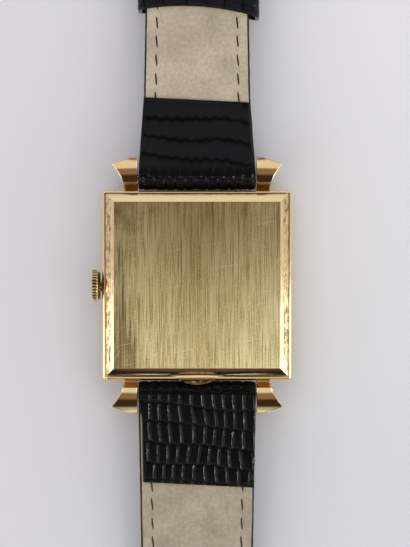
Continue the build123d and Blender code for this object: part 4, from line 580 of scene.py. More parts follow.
# Strap. Each half is drawn in millimetres in its own frame: x across, u outwards from the middle of
# the watch, z up. The twelve o'clock half lies along +Y, the six o'clock half is turned half round.
SKIN = 0.45
LINING = 0.5
BAR = middle_of("spring_bar_tube_12")[1:]
BUCKLE_PIN = middle_of("buckle_pin")[1:]
FOLD = BAR[0] - low_corner("strap_12_leather")[1]
FOLD_BULGE = 0.39
BULGE_AT = 1.04 * pi
BULGE_SPREAD = 0.42
PIN_FOLD = high_corner("strap_12_leather")[1] - BUCKLE_PIN[0]
LONG_END = -low_corner("strap_6_leather")[1]
LONG_THICK = 2.0
LONG_SLOPE = 36.0  # from the bar to where the six o'clock half meets the table
LONG_BEND = BAR[0] + LONG_SLOPE
LONG_BEND_RADIUS = 260.0
SHORT_FLAP = 10.2
LONG_FLAP = 12.1
BUCKLE_FLAP = 8.5
POINT_LENGTH = 9.0
POINT_WIDTH = 3.2
EDGE_SHOWN = 0.1  # the painted edge that shows beside the lining
FINE_STEP = 0.1  # between the points drawn in relief
COARSE_STEP = 0.3

# Lizard scales in rows across the strap, each row with its own lines of scales
SCALE_LENGTH = 2.7
SCALE_WIDTH = 1.42
ROW_SWAY = 0.5
ROW_SWAY_SIZE = 6.0
ROW_SLANT_SHARE = 0.05
ROW_RIPPLE_SHARE = 0.035
ROW_RIPPLE_TURN = 1.5
ROW_RIPPLE_SIZE = 4.0
LINE_SWAY = 0.28
LINE_SWAY_SIZE = 3.5
ROW_GROOVE = 0.13
LINE_GROOVE = 0.09
GROOVE_DEPTH = 0.055
GROOVE_LEAST_SHARE = 0.7  # grooves differ in width from scale to scale
GROOVE_MORE_SHARE = 0.7
UNPARTED_SHARE = 1.6  # how much wider a row's groove is where its scales don't part
SHOULDER = 0.27  # how far a scale's side rounds off towards the next, and how deep
SHOULDER_DROP = 0.075
SHOULDER_POWER = 1.6
ROW_DROP = 0.035
ROW_DROP_REACH = 0.35
SCALE_TILT = 0.06
GRAIN_LEVEL = 0.03


def to_frame(points, half):
    """From a strap half's millimetres to metres in the watch's frame."""
    way = -1 if half.turned else 1
    return np.asarray(points) * MM * (way, way, 1)


def wander(a, b, size, seed):
    """A smooth field between about -1 and 1 with blots of the given size, the same on every run."""
    draw = np.random.RandomState(seed)
    total = np.zeros(np.broadcast(a, b).shape)
    for _ in range(8):
        bearing = draw.uniform(0, pi)
        pitch = 2 * size * draw.uniform(0.7, 1.8)
        along = a * cos(bearing) + b * sin(bearing)
        total += np.sin(along * 2 * pi / pitch + draw.uniform(0, 2 * pi))
    return total / 4


def fade(value, low, high):
    """0 below low, 1 above high and smooth between."""
    share = np.clip((value - low) / (high - low), 0, 1)
    return share * share * (3 - 2 * share)


def hill(value, width):
    """1 where the value is 0, falling off smoothly to both sides."""
    return np.exp(-((value / width) ** 2))


def rounded(to_edge, reach):
    """How far an edge rounded over reach has dropped, as a share of its whole drop."""
    return 1 - np.sqrt(1 - np.clip(1 - to_edge / reach, 0, 1) ** 2)


def chance(a, b, seed):
    """A number between 0 and 1 for each pair of whole numbers, the same on every run."""
    value = np.sin(a * 12.9898 + b * 78.233 + seed * 3.17) * 43758.5453
    return value - np.floor(value)


def lizard(across, along, seed, columns=1.0):
    """Lizard skin: how deep each point lies, in mm, and how far it is in a groove, 0 to 1. Columns
    is the share of their depth that the grooves along the strap have."""
    sway = ROW_SWAY * wander(across, along, ROW_SWAY_SIZE, seed)
    turned = ROW_RIPPLE_TURN * wander(across, along, ROW_RIPPLE_SIZE, seed)
    ripple = 2 * pi * across / SCALE_WIDTH + turned
    rows = (along + sway - ROW_SLANT_SHARE * across) / SCALE_LENGTH + ROW_RIPPLE_SHARE * np.cos(ripple)
    row = np.floor(rows)
    swayed = across + LINE_SWAY * wander(across, along, LINE_SWAY_SIZE, seed + 1)
    lines = swayed / SCALE_WIDTH + chance(row, 0, seed)
    line = np.floor(lines)
    to_row = np.abs(rows - np.round(rows)) * SCALE_LENGTH
    to_line = np.abs(lines - np.round(lines)) * SCALE_WIDTH
    wide = GROOVE_LEAST_SHARE + GROOVE_MORE_SHARE * chance(row, line, seed + 2)
    row_groove = hill(to_row, ROW_GROOVE * (1 + UNPARTED_SHARE * (1 - columns)) * wide)
    groove = np.maximum(row_groove, hill(to_line, LINE_GROOVE * wide) * columns)
    shoulder = columns * np.clip(1 - to_line / SHOULDER, 0, 1) ** SHOULDER_POWER
    pillow = ROW_DROP * np.exp(-to_row / ROW_DROP_REACH) + SHOULDER_DROP * shoulder
    tilt = (chance(row, line, seed + 3) - 0.5) * SCALE_TILT * columns
    tilted = tilt * (rows - row - 0.5)
    return GROOVE_DEPTH * groove + np.minimum(pillow, SHOULDER_DROP) + tilted + GRAIN_LEVEL, groove


def line_points(start, end, step):
    count = max(1, ceil(hypot(end[0] - start[0], end[1] - start[1]) / step))
    share = np.linspace(0, 1, count, endpoint=False)[:, None]
    return np.array(start) + share * (np.array(end) - np.array(start))


def arc_points(centre, radius, start, end, step):
    """Points round a centre, from one direction to another, in radians."""
    turns = np.linspace(start, end, max(2, ceil(abs(end - start) * radius / step)), endpoint=False)
    return np.array(centre) + radius * np.stack([np.cos(turns), np.sin(turns)], axis=1)


def fold_points(start, end):
    """The fold round the spring bar, pressed out a little where it faces the case."""
    turns = np.linspace(start, end, ceil(abs(end - start) * FOLD / FINE_STEP), endpoint=False)
    radius = FOLD + FOLD_BULGE * hill(turns - BULGE_AT, BULGE_SPREAD)
    return BAR + radius[:, None] * np.stack([np.cos(turns), np.sin(turns)], axis=1)


def unit(rows):
    return rows / np.linalg.norm(rows, axis=1)[:, None]


def travel(path):
    """How far along a path each of its points lies."""
    return np.concatenate([[0], np.cumsum(np.linalg.norm(np.diff(path, axis=0), axis=1))])


# The twelve o'clock half seen from the side is a belt round the bar and the buckle's pin.
short_run = BUCKLE_PIN - BAR
short_span = hypot(*short_run)
short_way = short_run / short_span
short_lean = (FOLD - PIN_FOLD) / short_span
square_up = np.array([-short_way[1], short_way[0]])
up_normal = short_lean * short_way + sqrt(1 - short_lean**2) * square_up
low_normal = short_lean * short_way - sqrt(1 - short_lean**2) * square_up


def round_height(u, centre, radius, way):
    """Height of a round fold's upper side, or of its lower side where way is -1."""
    return centre[1] + way * np.sqrt(np.clip(radius**2 - (u - centre[0]) ** 2, 0, None))


def short_height(u, inset, upper):
    """Height of the twelve o'clock half's upper or lower side, drawn in by inset."""
    normal = up_normal if upper else low_normal
    way = 1 if upper else -1
    start = BAR + (FOLD - inset) * normal
    end = BUCKLE_PIN + (PIN_FOLD - inset) * normal
    height = start[1] + (u - start[0]) * (end[1] - start[1]) / (end[0] - start[0])
    height = np.where(u < BAR[0], round_height(u, BAR, FOLD - inset, way), height)
    far = round_height(u, BUCKLE_PIN, PIN_FOLD - inset, way)
    return np.where(u > BUCKLE_PIN[0], far, height)


def long_height(u, inset, upper):
    """Height of the six o'clock half's upper or lower side: down to the table, then flat."""
    way = 1 if upper else -1
    flat = LONG_THICK + SKIN - inset if upper else inset
    start = BAR[1] + way * (FOLD - inset)
    slope = (start - flat) / (LONG_BEND - BAR[0])
    reach = LONG_BEND_RADIUS * slope / 2
    bend = slope / (4 * reach) * np.clip(LONG_BEND + reach - u, 0, 2 * reach) ** 2
    height = flat + np.where(u < LONG_BEND - reach, slope * (LONG_BEND - u), bend)
    return np.where(u < BAR[0], round_height(u, BAR, FOLD - inset, way), height)


STRAP_END = high_corner("strap_12_leather")[0]
KEEPER_BESIDE = 1.1  # how far the free keeper stands out beside the strap
STRAP_HALF = high_corner("free_keeper")[0] - KEEPER_BESIDE
WAIST = 10.5
WAIST_HALF = 7.175
LONG_TAPER = 50.0
SMALLEST = 0.01  # keeps the point's width off zero, as the square of a length


def short_half(u):
    """Half the twelve o'clock half's width."""
    places = [BAR[0], BAR[0] + WAIST, BAR[0] + 2 * WAIST]
    return np.interp(u, places, [STRAP_END, WAIST_HALF, STRAP_HALF])


def long_half(u):
    """Half the six o'clock half's width, with its pointed end."""
    body = np.interp(u, [BAR[0], BAR[0] + LONG_TAPER], [STRAP_END, STRAP_HALF])
    left = LONG_END - u
    tip = POINT_WIDTH / 4
    point = np.interp(left, [tip, POINT_LENGTH], [POINT_WIDTH / 2, STRAP_HALF])
    tip_radius = (tip**2 + (POINT_WIDTH / 2) ** 2) / (2 * tip)
    nose = np.sqrt(np.clip(tip_radius**2 - (tip_radius - left) ** 2, SMALLEST, None))
    return np.where(left > POINT_LENGTH, body, np.where(left < tip, nose, point))


def top_point(height, u):
    return (u, float(height(u, 0, True)))


def short_path():
    """Round the twelve o'clock half: back along its flap, round the bar, out below, round the pin."""
    end = top_point(short_height, BUCKLE_PIN[0] - BUCKLE_FLAP)
    up_turn = atan2(up_normal[1], up_normal[0])
    low_turn = atan2(low_normal[1], low_normal[0])
    flap_end = top_point(short_height, BAR[0] + SHORT_FLAP)
    far_low = BUCKLE_PIN + PIN_FOLD * low_normal
    far_up = BUCKLE_PIN + PIN_FOLD * up_normal
    return np.concatenate(
        [
            line_points(flap_end, BAR + FOLD * up_normal, FINE_STEP),
            fold_points(up_turn, low_turn + 2 * pi),
            line_points(BAR + FOLD * low_normal, far_low, COARSE_STEP),
            arc_points(BUCKLE_PIN, PIN_FOLD, low_turn, up_turn, FINE_STEP),
            line_points(far_up, end, COARSE_STEP),
            [end],
        ]
    )


LAST_STEP = 0.02  # how far before the strap's point its path ends
NOSE_POINTS = 14


def long_path():
    """Round the six o'clock half: back along its flap, round the bar and out below to its tip."""
    below = np.arange(BAR[0], LONG_END - POINT_WIDTH / 2, COARSE_STEP)
    closer = np.linspace(0, 1, NOSE_POINTS) ** 0.5
    nose = LONG_END - (POINT_WIDTH / 2) * (1 - closer) - LAST_STEP
    below = np.concatenate([below, nose])
    flap_end = top_point(long_height, BAR[0] + LONG_FLAP)
    return np.concatenate(
        [
            line_points(flap_end, (BAR[0], BAR[1] + FOLD), FINE_STEP),
            fold_points(pi / 2, 3 * pi / 2),
            np.stack([below, long_height(below, 0, False)], axis=1),
        ]
    )


def ring_faces(count, size, closed=False):
    """Quads between rings of points; closed joins the last ring to the first."""
    rings = np.arange(count if closed else count - 1)
    ring, spot = np.meshgrid(rings, np.arange(size), indexing="ij")
    after = (ring + 1) % count
    beside = (spot + 1) % size
    corners = [ring * size + spot, after * size + spot, after * size + beside, ring * size + beside]
    return np.stack(corners, axis=-1).reshape(-1, 4)


SHARP_LEATHER = radians(50)


def tube(name, rings, materials, grooves=None, tones_and_sheen=None):
    """A closed mesh through rings of points, all of one count, with a flat cap at each end."""
    count, size = rings.shape[:2]
    quads = ring_faces(count, size)
    points = rings.reshape(-1, 3)
    a, b, c, d = (points[quads[:, k]] for k in range(4))
    middle = points.mean(axis=0)
    volume = np.einsum("ij,ij->i", np.cross(c - a, d - b), (a + b + c + d) / 4 - middle).sum()
    faces = quads.tolist()
    faces.append(list(range(size)))
    faces.append(list(range((count - 1) * size, count * size))[::-1])
    if volume < 0:
        faces = [face[::-1] for face in faces]
    piece = make_piece(name, points, faces, materials)
    for title, values in (("groove", grooves), ("tone_and_sheen", tones_and_sheen)):
        if values is not None:
            store(piece, title, values)
    piece.data.set_sharp_from_angle(angle=SHARP_LEATHER)
    return piece


def inwards(tangent):
    """The way square to each tangent, towards the inside of a path."""
    return np.stack([tangent[:, 1], -tangent[:, 0]], axis=1)


def line_inside(places, depth, groove, inner, thickness):
    """Adds a plain inner side to rows of relief."""
    places = np.concatenate([places, inner], axis=1)
    depth = np.concatenate([depth, np.full_like(inner, thickness)], axis=1)
    return places, depth, np.concatenate([groove, 0 * inner], axis=1)


def spread(half, step):
    """Rows of places across, each as wide as its half says to either side."""
    return np.linspace(-1, 1, int(2 * STRAP_END / step) + 1)[None, :] * half[:, None]


EDGE_ROLL = 0.9  # how far from its side the leather rounds off, and how deep
EDGE_DROP = 0.3
FLAP_ROLL = 0.3
FLAP_DROP = 0.16
FLAP_END_REACH = 0.35
FLAP_DENTS = 0.06
FLAP_DENT_SIZE = 5.0
FLAP_SLANT_SHARE = -0.05
FLAP_SETTLES_FROM = 4.0  # before the fold, where a flap comes into the strap's line
FLAP_SETTLES_TO = 0.5
RELIEF_FADE = (-0.2, 0.5)
GROOVE_FADE = (0.1, 0.5)
LEATHER_INSET = 0.01
SEAM_HALF = 0.28
SEAM_DROP = 0.05
STITCH_INSET = 1.6


def strap_leather(half):
    """Leather along a strap half's path: the outer side in fine relief, the inner side plain."""
    path = half.path
    tangent = unit(np.gradient(path, axis=0))
    normal = inwards(tangent)
    run = travel(path)
    on_flap = 1 - fade(run, half.flap - FLAP_SETTLES_FROM, half.flap - FLAP_SETTLES_TO)
    side = half.width(path[:, 0]) - LEATHER_INSET - half.flap_inset * on_flap
    across = spread(side, FINE_STEP)
    along = run[:, None] + 0 * across
    top = (run < half.flap)[:, None]
    columns = np.where(run < half.flap, half.columns(run), 1.0)[:, None]
    depth, groove = lizard(across, along, half.seed, columns)
    to_edge = side[:, None] - np.abs(across)
    edge = rounded(to_edge, np.where(top, FLAP_ROLL, EDGE_ROLL))
    depth = depth * fade(to_edge, *RELIEF_FADE) + np.where(top, FLAP_DROP, EDGE_DROP) * edge
    depth = depth + SEAM_DROP * (hill(to_edge - STITCH_INSET, SEAM_HALF) * (~top))
    depth = depth + FLAP_DROP * hill(run, FLAP_END_REACH)[:, None] * top
    dents = wander(across, along, FLAP_DENT_SIZE, half.seed + 9)
    depth = depth + FLAP_DENTS * top * (1 + dents) / 2
    groove = groove * fade(to_edge, *GROOVE_FADE)
    inner = np.stack([side, 0 * side, -side], axis=1)
    x, depth, groove = line_inside(across, depth, groove, inner, SKIN)
    slide = FLAP_SLANT_SHARE * x * on_flap[:, None]
    u = path[:, :1] - normal[:, :1] * depth - tangent[:, :1] * slide
    z = path[:, 1:] - normal[:, 1:] * depth - tangent[:, 1:] * slide
    rings = np.stack([x + half.flap_shift * on_flap[:, None], u, z], axis=-1)
    # Painted sheen, partly the skin's own colour: the twelve o'clock flap, away from the fold, is greyer
    tone_and_sheen = 1 - half.columns(run[:, None]) + 0 * groove
    return tube(half.name + "_skin", to_frame(rings, half), [LEATHER], groove, tone_and_sheen)


CORE_STEP = 0.2
CORE_ROOM = 0.03
CORE_INSET = 0.02
CORE_CORNER = 0.05
CORE_LEAN = 0.01
CORE_SHELF = 0.35
CORE_WIDEST_SHARE = 0.3
CORE_CHAMFER_SHARE = 0.3
CORE_BELOW_LINING = 0.05
CORE_LUMPS = 0.02
CORE_LUMP_SIZE = 1.2
CORE_ROUND = 0.14
CORE_HOLLOW = 0.25  # how far the filler lies below its painted edge


def strap_core(half):
    """Filler with its edges sealed with paint, as high as the lining's top."""
    u = stations(BAR[0] - (FOLD - SKIN - CORE_ROOM), half.core_end, CORE_STEP)
    low = half.height(u, SKIN - CORE_INSET, False)
    high = half.height(u, SKIN, True) - CORE_BELOW_LINING
    side = half.width(u) - CORE_INSET
    lumps = CORE_LUMPS * wander(u, 0 * u, CORE_LUMP_SIZE, half.core_seed)
    ring = [
        (side * 0, low),
        (side - CORE_CORNER, low),
        (side + lumps - CORE_LEAN, low + (high - low) * CORE_WIDEST_SHARE),
        (side + lumps, high - CORE_ROUND),
        (side - CORE_CHAMFER_SHARE * CORE_ROUND, high - CORE_CHAMFER_SHARE * CORE_ROUND),
        (side - CORE_ROUND, high),
        (side - CORE_SHELF, high - CORE_INSET),
        (side - 2 * CORE_HOLLOW, high - CORE_HOLLOW),
        (side * 0, high - CORE_HOLLOW),
    ]
    right = [np.stack([x, u, z], axis=-1) for x, z in ring]
    left = [points * (-1, 1, 1) for points in right[-2:0:-1]]
    return tube(half.name + "_core", to_frame(np.stack(right + left, axis=1), half), [EDGE])


LINING_STEP = 0.22
LINING_EDGE = 0.12
LINING_EDGE_DROP = 0.1
LINING_WAVES = 0.02
LINING_WAVE_SIZE = 2.5
LINING_GIVE = 0.1
DIP_ACROSS = 0.22
DIP_ALONG = 0.3
DIP_DEPTH = 0.09
DIP_REACH = 1.2


def strap_lining(half):
    """Lining panel with soft edges, drawn in where the thread pulls it down."""
    u = stations(BAR[0] + FOLD, half.lining_end, LINING_STEP)
    side = half.width(u) - EDGE_SHOWN
    across = spread(side, LINING_STEP)
    along = u[:, None] + 0 * across
    to_edge = side[:, None] - np.abs(across)
    depth = LINING_WAVES + LINING_EDGE_DROP * hill(to_edge, LINING_EDGE)
    waves = wander(across, along, LINING_WAVE_SIZE, half.lining_seed)
    depth = depth + LINING_WAVES * (1 + waves) / 2
    for dip_x, dip_u in needle_marks(half.seam):
        near = np.abs(u - dip_u) < DIP_REACH
        gap = ((across[near] - dip_x) / DIP_ACROSS) ** 2 + ((along[near] - dip_u) / DIP_ALONG) ** 2
        depth[near] += DIP_DEPTH * np.exp(-gap)
    top = half.height(u, SKIN, True)[:, None]
    inner = np.stack([side, 0 * side, -side], axis=1)
    x = np.concatenate([across, inner], axis=1)
    z = np.concatenate([top - depth, top - LINING + LINING_GIVE + 0 * inner], axis=1)
    rings = np.stack([x, u[:, None] + 0 * x, z], axis=-1)
    return tube(half.name + "_panel", to_frame(rings, half), [NUBUCK])


STITCH_PITCH = 2.55
STITCH_LENGTH = 1.7
STITCH_RISE = 0.16
STITCH_SLANT = 0.12
THREAD_RADIUS = 0.14
THREAD_SIDES = 8
THREAD_SUNK = 0.08
THREAD_SUNK_BELOW = 0.1
SLOPE_STEP = 0.05
SLOPE_REACH = 0.5
SEAM_SAMPLES = 1600
SEAM_UNDER_SHORT_FLAP = 1.0
SEAM_UNDER_LONG_FLAP = 1.2
LINING_TUCK = 1.0
LINING_SHORTER = 0.3
COLUMNS_FROM = 1.6  # before the fold, where the scales of the twelve o'clock flap begin to part
COLUMNS_TO = 0.4
FLAP_COLUMN_SHARE = 0.1
FOLD_COLUMN_SHARE = 0.85
SHORT_LINING_END = BUCKLE_PIN[0] - BUCKLE_FLAP - 2 * EDGE_SHOWN


def seam_half(half_width, u):
    """Half the distance between the two seams; towards the strap's point they follow its edge."""
    slope = (half_width(u) - half_width(u + SLOPE_STEP)) / SLOPE_STEP
    return half_width(u) - STITCH_INSET * np.sqrt(1 + slope**2)


def seam_points(half_width, start, end):
    """Points along one seam, evenly apart, as rows of across and outwards."""
    fine = np.linspace(start, end, SEAM_SAMPLES)
    wide = np.clip(seam_half(half_width, fine), 0, None)
    run = travel(np.stack([fine, wide], axis=1))
    marks = np.arange(int(run[-1] / STITCH_PITCH)) * STITCH_PITCH + STITCH_PITCH / 2
    return np.stack([np.interp(marks, run, wide), np.interp(marks, run, fine)], axis=1)


def needle_marks(seam):
    """Where the thread goes down, at both ends of each stitch on both sides."""
    ways = unit(np.gradient(seam, axis=0))
    ends = np.concatenate([seam - ways * STITCH_LENGTH / 2, seam + ways * STITCH_LENGTH / 2])
    return [(side * x, u) for x, u in ends for side in (-1, 1)]


def short_columns(run):
    """On the twelve o'clock flap the scales part only beside the fold."""
    parted = fade(run, SHORT_FLAP - COLUMNS_FROM, SHORT_FLAP - COLUMNS_TO)
    return FLAP_COLUMN_SHARE + FOLD_COLUMN_SHARE * parted


def long_columns(run):
    return 1.0 + 0 * run


def stations(start, end, step):
    return np.linspace(start, end, int((end - start) / step))


short = SimpleNamespace(
    name="strap_12",
    turned=False,
    height=short_height,
    width=short_half,
    path=short_path(),
    flap=SHORT_FLAP,
    flap_inset=0.1,
    flap_shift=-0.1,
    columns=short_columns,
    seam=seam_points(short_half, BAR[0] + SHORT_FLAP - SEAM_UNDER_SHORT_FLAP, SHORT_LINING_END),
    core_end=BUCKLE_PIN[0] + PIN_FOLD - SKIN - CORE_ROOM,
    lining_end=SHORT_LINING_END + LINING_TUCK,
    seed=11,
    core_seed=31,
    lining_seed=41,
)
long = SimpleNamespace(
    name="strap_6",
    turned=True,
    height=long_height,
    width=long_half,
    path=long_path(),
    flap=LONG_FLAP,
    flap_inset=0.24,
    flap_shift=-0.2,
    columns=long_columns,
    seam=seam_points(long_half, BAR[0] + LONG_FLAP - SEAM_UNDER_LONG_FLAP, LONG_END - STITCH_INSET),
    core_end=LONG_END - 2 * CORE_ROOM,
    lining_end=LONG_END - LINING_SHORTER,
    seed=23,
    core_seed=37,
    lining_seed=43,
)
leather_12, leather_6 = strap_leather(short), strap_leather(long)
core_12, core_6 = strap_core(short), strap_core(long)
lining_12, lining_6 = strap_lining(short), strap_lining(long)


HOLE_RADIUS = 0.75
HOLE_SPACING = 6.0
HOLE_FIRST = 24.0
HOLE_COUNT = 7
HOLE_SIDES = 32
CUT_LOW = -1.0
CUT_HIGH = 8.0


def cylinder(name, middle, radius, ends, sides, axis=2):
    """A closed cylinder between two heights along an axis, as a shape to cut with."""
    turns = np.linspace(0, 2 * pi, sides, endpoint=False)
    first, second = [k for k in range(3) if k != axis]
    rings = np.zeros((2, sides, 3))
    rings[:, :, first] = middle[first] + radius * np.cos(turns)
    rings[:, :, second] = middle[second] + radius * np.sin(turns)
    rings[:, :, axis] = np.array(ends)[:, None]
    return tube(name, rings * MM, [])


holes = []
for k in range(HOLE_COUNT):
    middle = (0, -LONG_END + HOLE_FIRST + k * HOLE_SPACING)
    holes.append(cylinder("hole", middle, HOLE_RADIUS, (CUT_LOW, CUT_HIGH), HOLE_SIDES))
cut_out([leather_6, core_6, lining_6], holes)

SLOT_WIDTH = 2.3
SLOT_LENGTH = 4.5
SLOT_LOW = -2.0
CORNERS = [(-1, -1), (1, -1), (1, 1), (-1, 1)]
slot_middle = BUCKLE_PIN[0] + PIN_FOLD - SLOT_LENGTH / 2
slot = [
    [(x * SLOT_WIDTH / 2, y * SLOT_LENGTH / 2 + slot_middle, z) for x, y in CORNERS]
    for z in (SLOT_LOW, CUT_HIGH)
]
cut_out([leather_12, core_12], [tube("slot", np.array(slot) * MM, [])])

# Movement: the two bridges that a wheel turns beside are cut back a little to give it room.
WHEEL_ROOM = 0.05
WHEEL_SIDES = 180


def wheel_room(node, joint, axis):
    """A cylinder round a wheel, along axis 0 (x) or 2 (z) through its joint."""
    low = low_corner(node)
    high = high_corner(node)
    pivot = np.array(pivots[joint]) / MM
    side = 1 if axis == 0 else 0
    radius = max(high[side] - pivot[side], pivot[side] - low[side]) + WHEEL_ROOM
    ends = (low[axis] - WHEEL_ROOM, high[axis] + WHEEL_ROOM)
    return cylinder(node + "_room", pivot, radius, ends, WHEEL_SIDES, axis)


softened("train_bridge", cutters=[wheel_room("winding_pinion", "winding_pinion_turn", 0)])
softened("pallet_bridge", cutters=[wheel_room("centre_wheel", "centre_turn", 2)])


# Stitches and dial printing: trees that lay one thread or one line on each point of a piece
def laying_tree(title, sizes, paint, shape):
    """A tree that lays a shape on each point, turned to its heading and drawn out by its stretch.
    Sizes are its inputs in mm, paint names the input for its material, and shape draws it."""
    tree = bpy.data.node_groups.new(title, "GeometryNodeTree")
    sockets = [("Geometry", "INPUT", "NodeSocketGeometry"), ("Geometry", "OUTPUT", "NodeSocketGeometry")]
    sockets += [(name, "INPUT", "NodeSocketFloat") for name in sizes]
    sockets += [(paint, "INPUT", "NodeSocketMaterial")]
    for name, way, kind in sockets:
        socket = tree.interface.new_socket(name, in_out=way, socket_type=kind)
        if name in sizes:
            socket.default_value = sizes[name] * MM
    given = add_node(tree, "NodeGroupInput").node.outputs
    laid = {"Points": given["Geometry"], "Instance": shape(tree, given)}
    for socket, name in (("Rotation", "heading"), ("Scale", "stretch")):
        settings = {"data_type": "FLOAT_VECTOR"}
        kept = {"Name": name}
        laid[socket] = add_node(tree, "GeometryNodeInputNamedAttribute", settings, kept, out="Attribute")
    laid = add_node(tree, "GeometryNodeInstanceOnPoints", inputs=laid)
    real = add_node(tree, "GeometryNodeRealizeInstances", inputs={"Geometry": laid})
    painted = {"Geometry": real, "Material": given[paint]}
    painted = add_node(tree, "GeometryNodeSetMaterial", inputs=painted)
    add_node(tree, "NodeGroupOutput", inputs={"Geometry": painted})
    return tree


def bowed_thread(tree, given):
    """A thread that comes up out of one hole and goes down into the next."""
    scaled = {"operation": "MULTIPLY"}
    half = add_node(tree, "ShaderNodeMath", scaled, {0: given["Stitch length"], 1: 0.5})
    back = add_node(tree, "ShaderNodeMath", scaled, {0: half, 1: -1.0})
    under = add_node(tree, "ShaderNodeMath", scaled, {0: given["Rise"], 1: -1.0})
    start = add_node(tree, "ShaderNodeCombineXYZ", inputs={"X": back, "Z": under})
    crest = add_node(tree, "ShaderNodeCombineXYZ", inputs={"Z": given["Rise"]})
    end = add_node(tree, "ShaderNodeCombineXYZ", inputs={"X": half, "Z": under})
    ways = {"Resolution": THREAD_SIDES, "Start": start, "Middle": crest, "End": end}
    bow = add_node(tree, "GeometryNodeCurveQuadraticBezier", inputs=ways)
    ring = {"Resolution": THREAD_SIDES, "Radius": given["Thread radius"]}
    section = add_node(tree, "GeometryNodeCurvePrimitiveCircle", inputs=ring)
    swept = {"Curve": bow, "Profile Curve": section, "Fill Caps": True}
    thread = add_node(tree, "GeometryNodeCurveToMesh", inputs=swept)
    return add_node(tree, "GeometryNodeSetShadeSmooth", inputs={"Geometry": thread})


def printed_line(tree, given):
    """A flat bar of lacquer."""
    sizes = {"X": given["Line length"], "Y": given["Line width"], "Z": given["Lacquer thickness"]}
    size = add_node(tree, "ShaderNodeCombineXYZ", inputs=sizes)
    return add_node(tree, "GeometryNodeMeshCube", inputs={"Size": size}, out="Mesh")


def lay(name, tree, points, turns, stretches, values):
    """A piece of what a tree lays on points, each with its turns and its stretch."""
    piece = make_piece(name, points, [], [], smooth=False)
    for title, rows in (("heading", turns), ("stretch", stretches)):
        store(piece, title, rows, "FLOAT_VECTOR", "vector")
    modifier = piece.modifiers.new("grow", "NODES")
    modifier.node_group = tree
    for item in tree.interface.items_tree:
        if item.item_type == "SOCKET" and item.in_out == "INPUT" and item.name in values:
            modifier[item.identifier] = values[item.name]
    apply_modifiers(piece)
    return piece


stitch_sizes = {"Stitch length": STITCH_LENGTH, "Thread radius": THREAD_RADIUS, "Rise": STITCH_RISE}
stitch_tree = laying_tree("stitches", stitch_sizes, "Thread", bowed_thread)


def stitches(half):
    """Stitches of a strap half: beside both edges, on the lining and on the outer leather."""
    ways = np.gradient(half.seam, axis=0)
    spots = []
    turns = []
    for side, upper in ((-1, True), (-1, False), (1, True), (1, False)):
        inset = SKIN if upper else 0
        for (x, u), way in zip(half.seam, ways):
            ahead = float(half.height(u + SLOPE_REACH, inset, upper))
            rise = ahead - float(half.height(u - SLOPE_REACH, inset, upper))
            level = float(half.height(u, inset, upper))
            slope = atan2(rise, 2 * SLOPE_REACH)
            bearing = atan2(way[1], side * way[0]) + (pi if half.turned else 0) + STITCH_SLANT
            spots.append((side * x, u, level - THREAD_SUNK if upper else level + THREAD_SUNK_BELOW))
            turns.append((0 if upper else pi, -slope if upper else slope, bearing))
    points = to_frame(spots, half)
    stretches = np.ones((len(spots), 3))
    return lay(half.name + "_stitches", stitch_tree, points, turns, stretches, {"Thread": THREAD})


stitches_12, stitches_6 = stitches(short), stitches(long)
layers_12 = (leather_12, core_12, lining_12)
layers_6 = (leather_6, core_6, lining_6)
for half, layers in (("strap_12", layers_12), ("strap_6", layers_6)):
    for piece, layer in zip(layers, ("_leather", "_filler", "_lining")):
        stand_in(piece, half + layer)
for piece, body in ((stitches_12, "strap_12"), (stitches_6, "strap_6")):
    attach(piece, body)

MINUTE_LINE = 0.75
SECONDS_LINE = 0.42
SHORT_SHARE = 0.55  # a seconds line's length between the fives
THIN_SHARE = 0.8
LINE_WIDTH = 0.075
LACQUER = 0.012
SECONDS_RING = 2.74  # radius to the seconds lines' outer ends, just inside the sunk ring
RING_SUNK = 0.1


def dial_printing():
    """Forty-eight minute lines on a square as wide as the markers', and sixty seconds lines."""
    front = low_corner("dial")[2]
    half = high_corner("dial_markers")[1]
    ring = middle_of("fourth_wheel")
    spots = []
    turns = []
    stretches = []
    for minute in range(60):
        bearing = minute * pi / 30
        way = np.array([cos(bearing), sin(bearing)])
        if minute % 5:
            reach = half / max(abs(way[0]), abs(way[1])) - MINUTE_LINE / 2
            spots.append((*(way * reach), front))
            turns.append((0, 0, bearing))
            stretches.append((1, 1, 1))
        share = SHORT_SHARE if minute % 5 else 1.0
        reach = SECONDS_RING - SECONDS_LINE * share / 2
        spots.append((*(ring[:2] + way * reach), front + RING_SUNK))
        turns.append((0, 0, bearing))
        stretches.append((share * SECONDS_LINE / MINUTE_LINE, THIN_SHARE, 1))
    sizes = {"Line length": MINUTE_LINE, "Line width": LINE_WIDTH, "Lacquer thickness": LACQUER}
    tree = laying_tree("dial_lines", sizes, "Lacquer", printed_line)
    piece = lay("dial_printing", tree, np.array(spots) * MM, turns, stretches, {"Lacquer": PRINT})
    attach(piece, nodes["dial"]["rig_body"])


dial_printing()

# Keepers: leather loops, bowed and set a little askew by wear
KEEPER_WALL = 0.6
KEEPER_LENGTH = 5.0
KEEPER_TONE_AND_SHEEN = 0.9  # the keepers are as smooth and grey as the flaps, the grey partly painted sheen
KEEPER_GIVE = 0.15  # how far worn leather has spread to either side
KEEPER_OVER = 0.15
KEEPER_UNDER = 1.45
KEEPER_STEP = 0.2
KEEPER_FINE_STEP = 0.15
KEEPER_ROLL = 0.35
KEEPER_DROP = 0.22
KEEPER_COLUMN_SHARE = 0.8
KEEPER_BOW_SHARE = 0.4
KEEPER_RELIEF_FADE = (-0.1, 0.4)
KEEPER_GROOVE_FADE = (0.1, 0.4)
FREE_KEEPER_AT = 22.4
FIXED_KEEPER_AT = 54.0


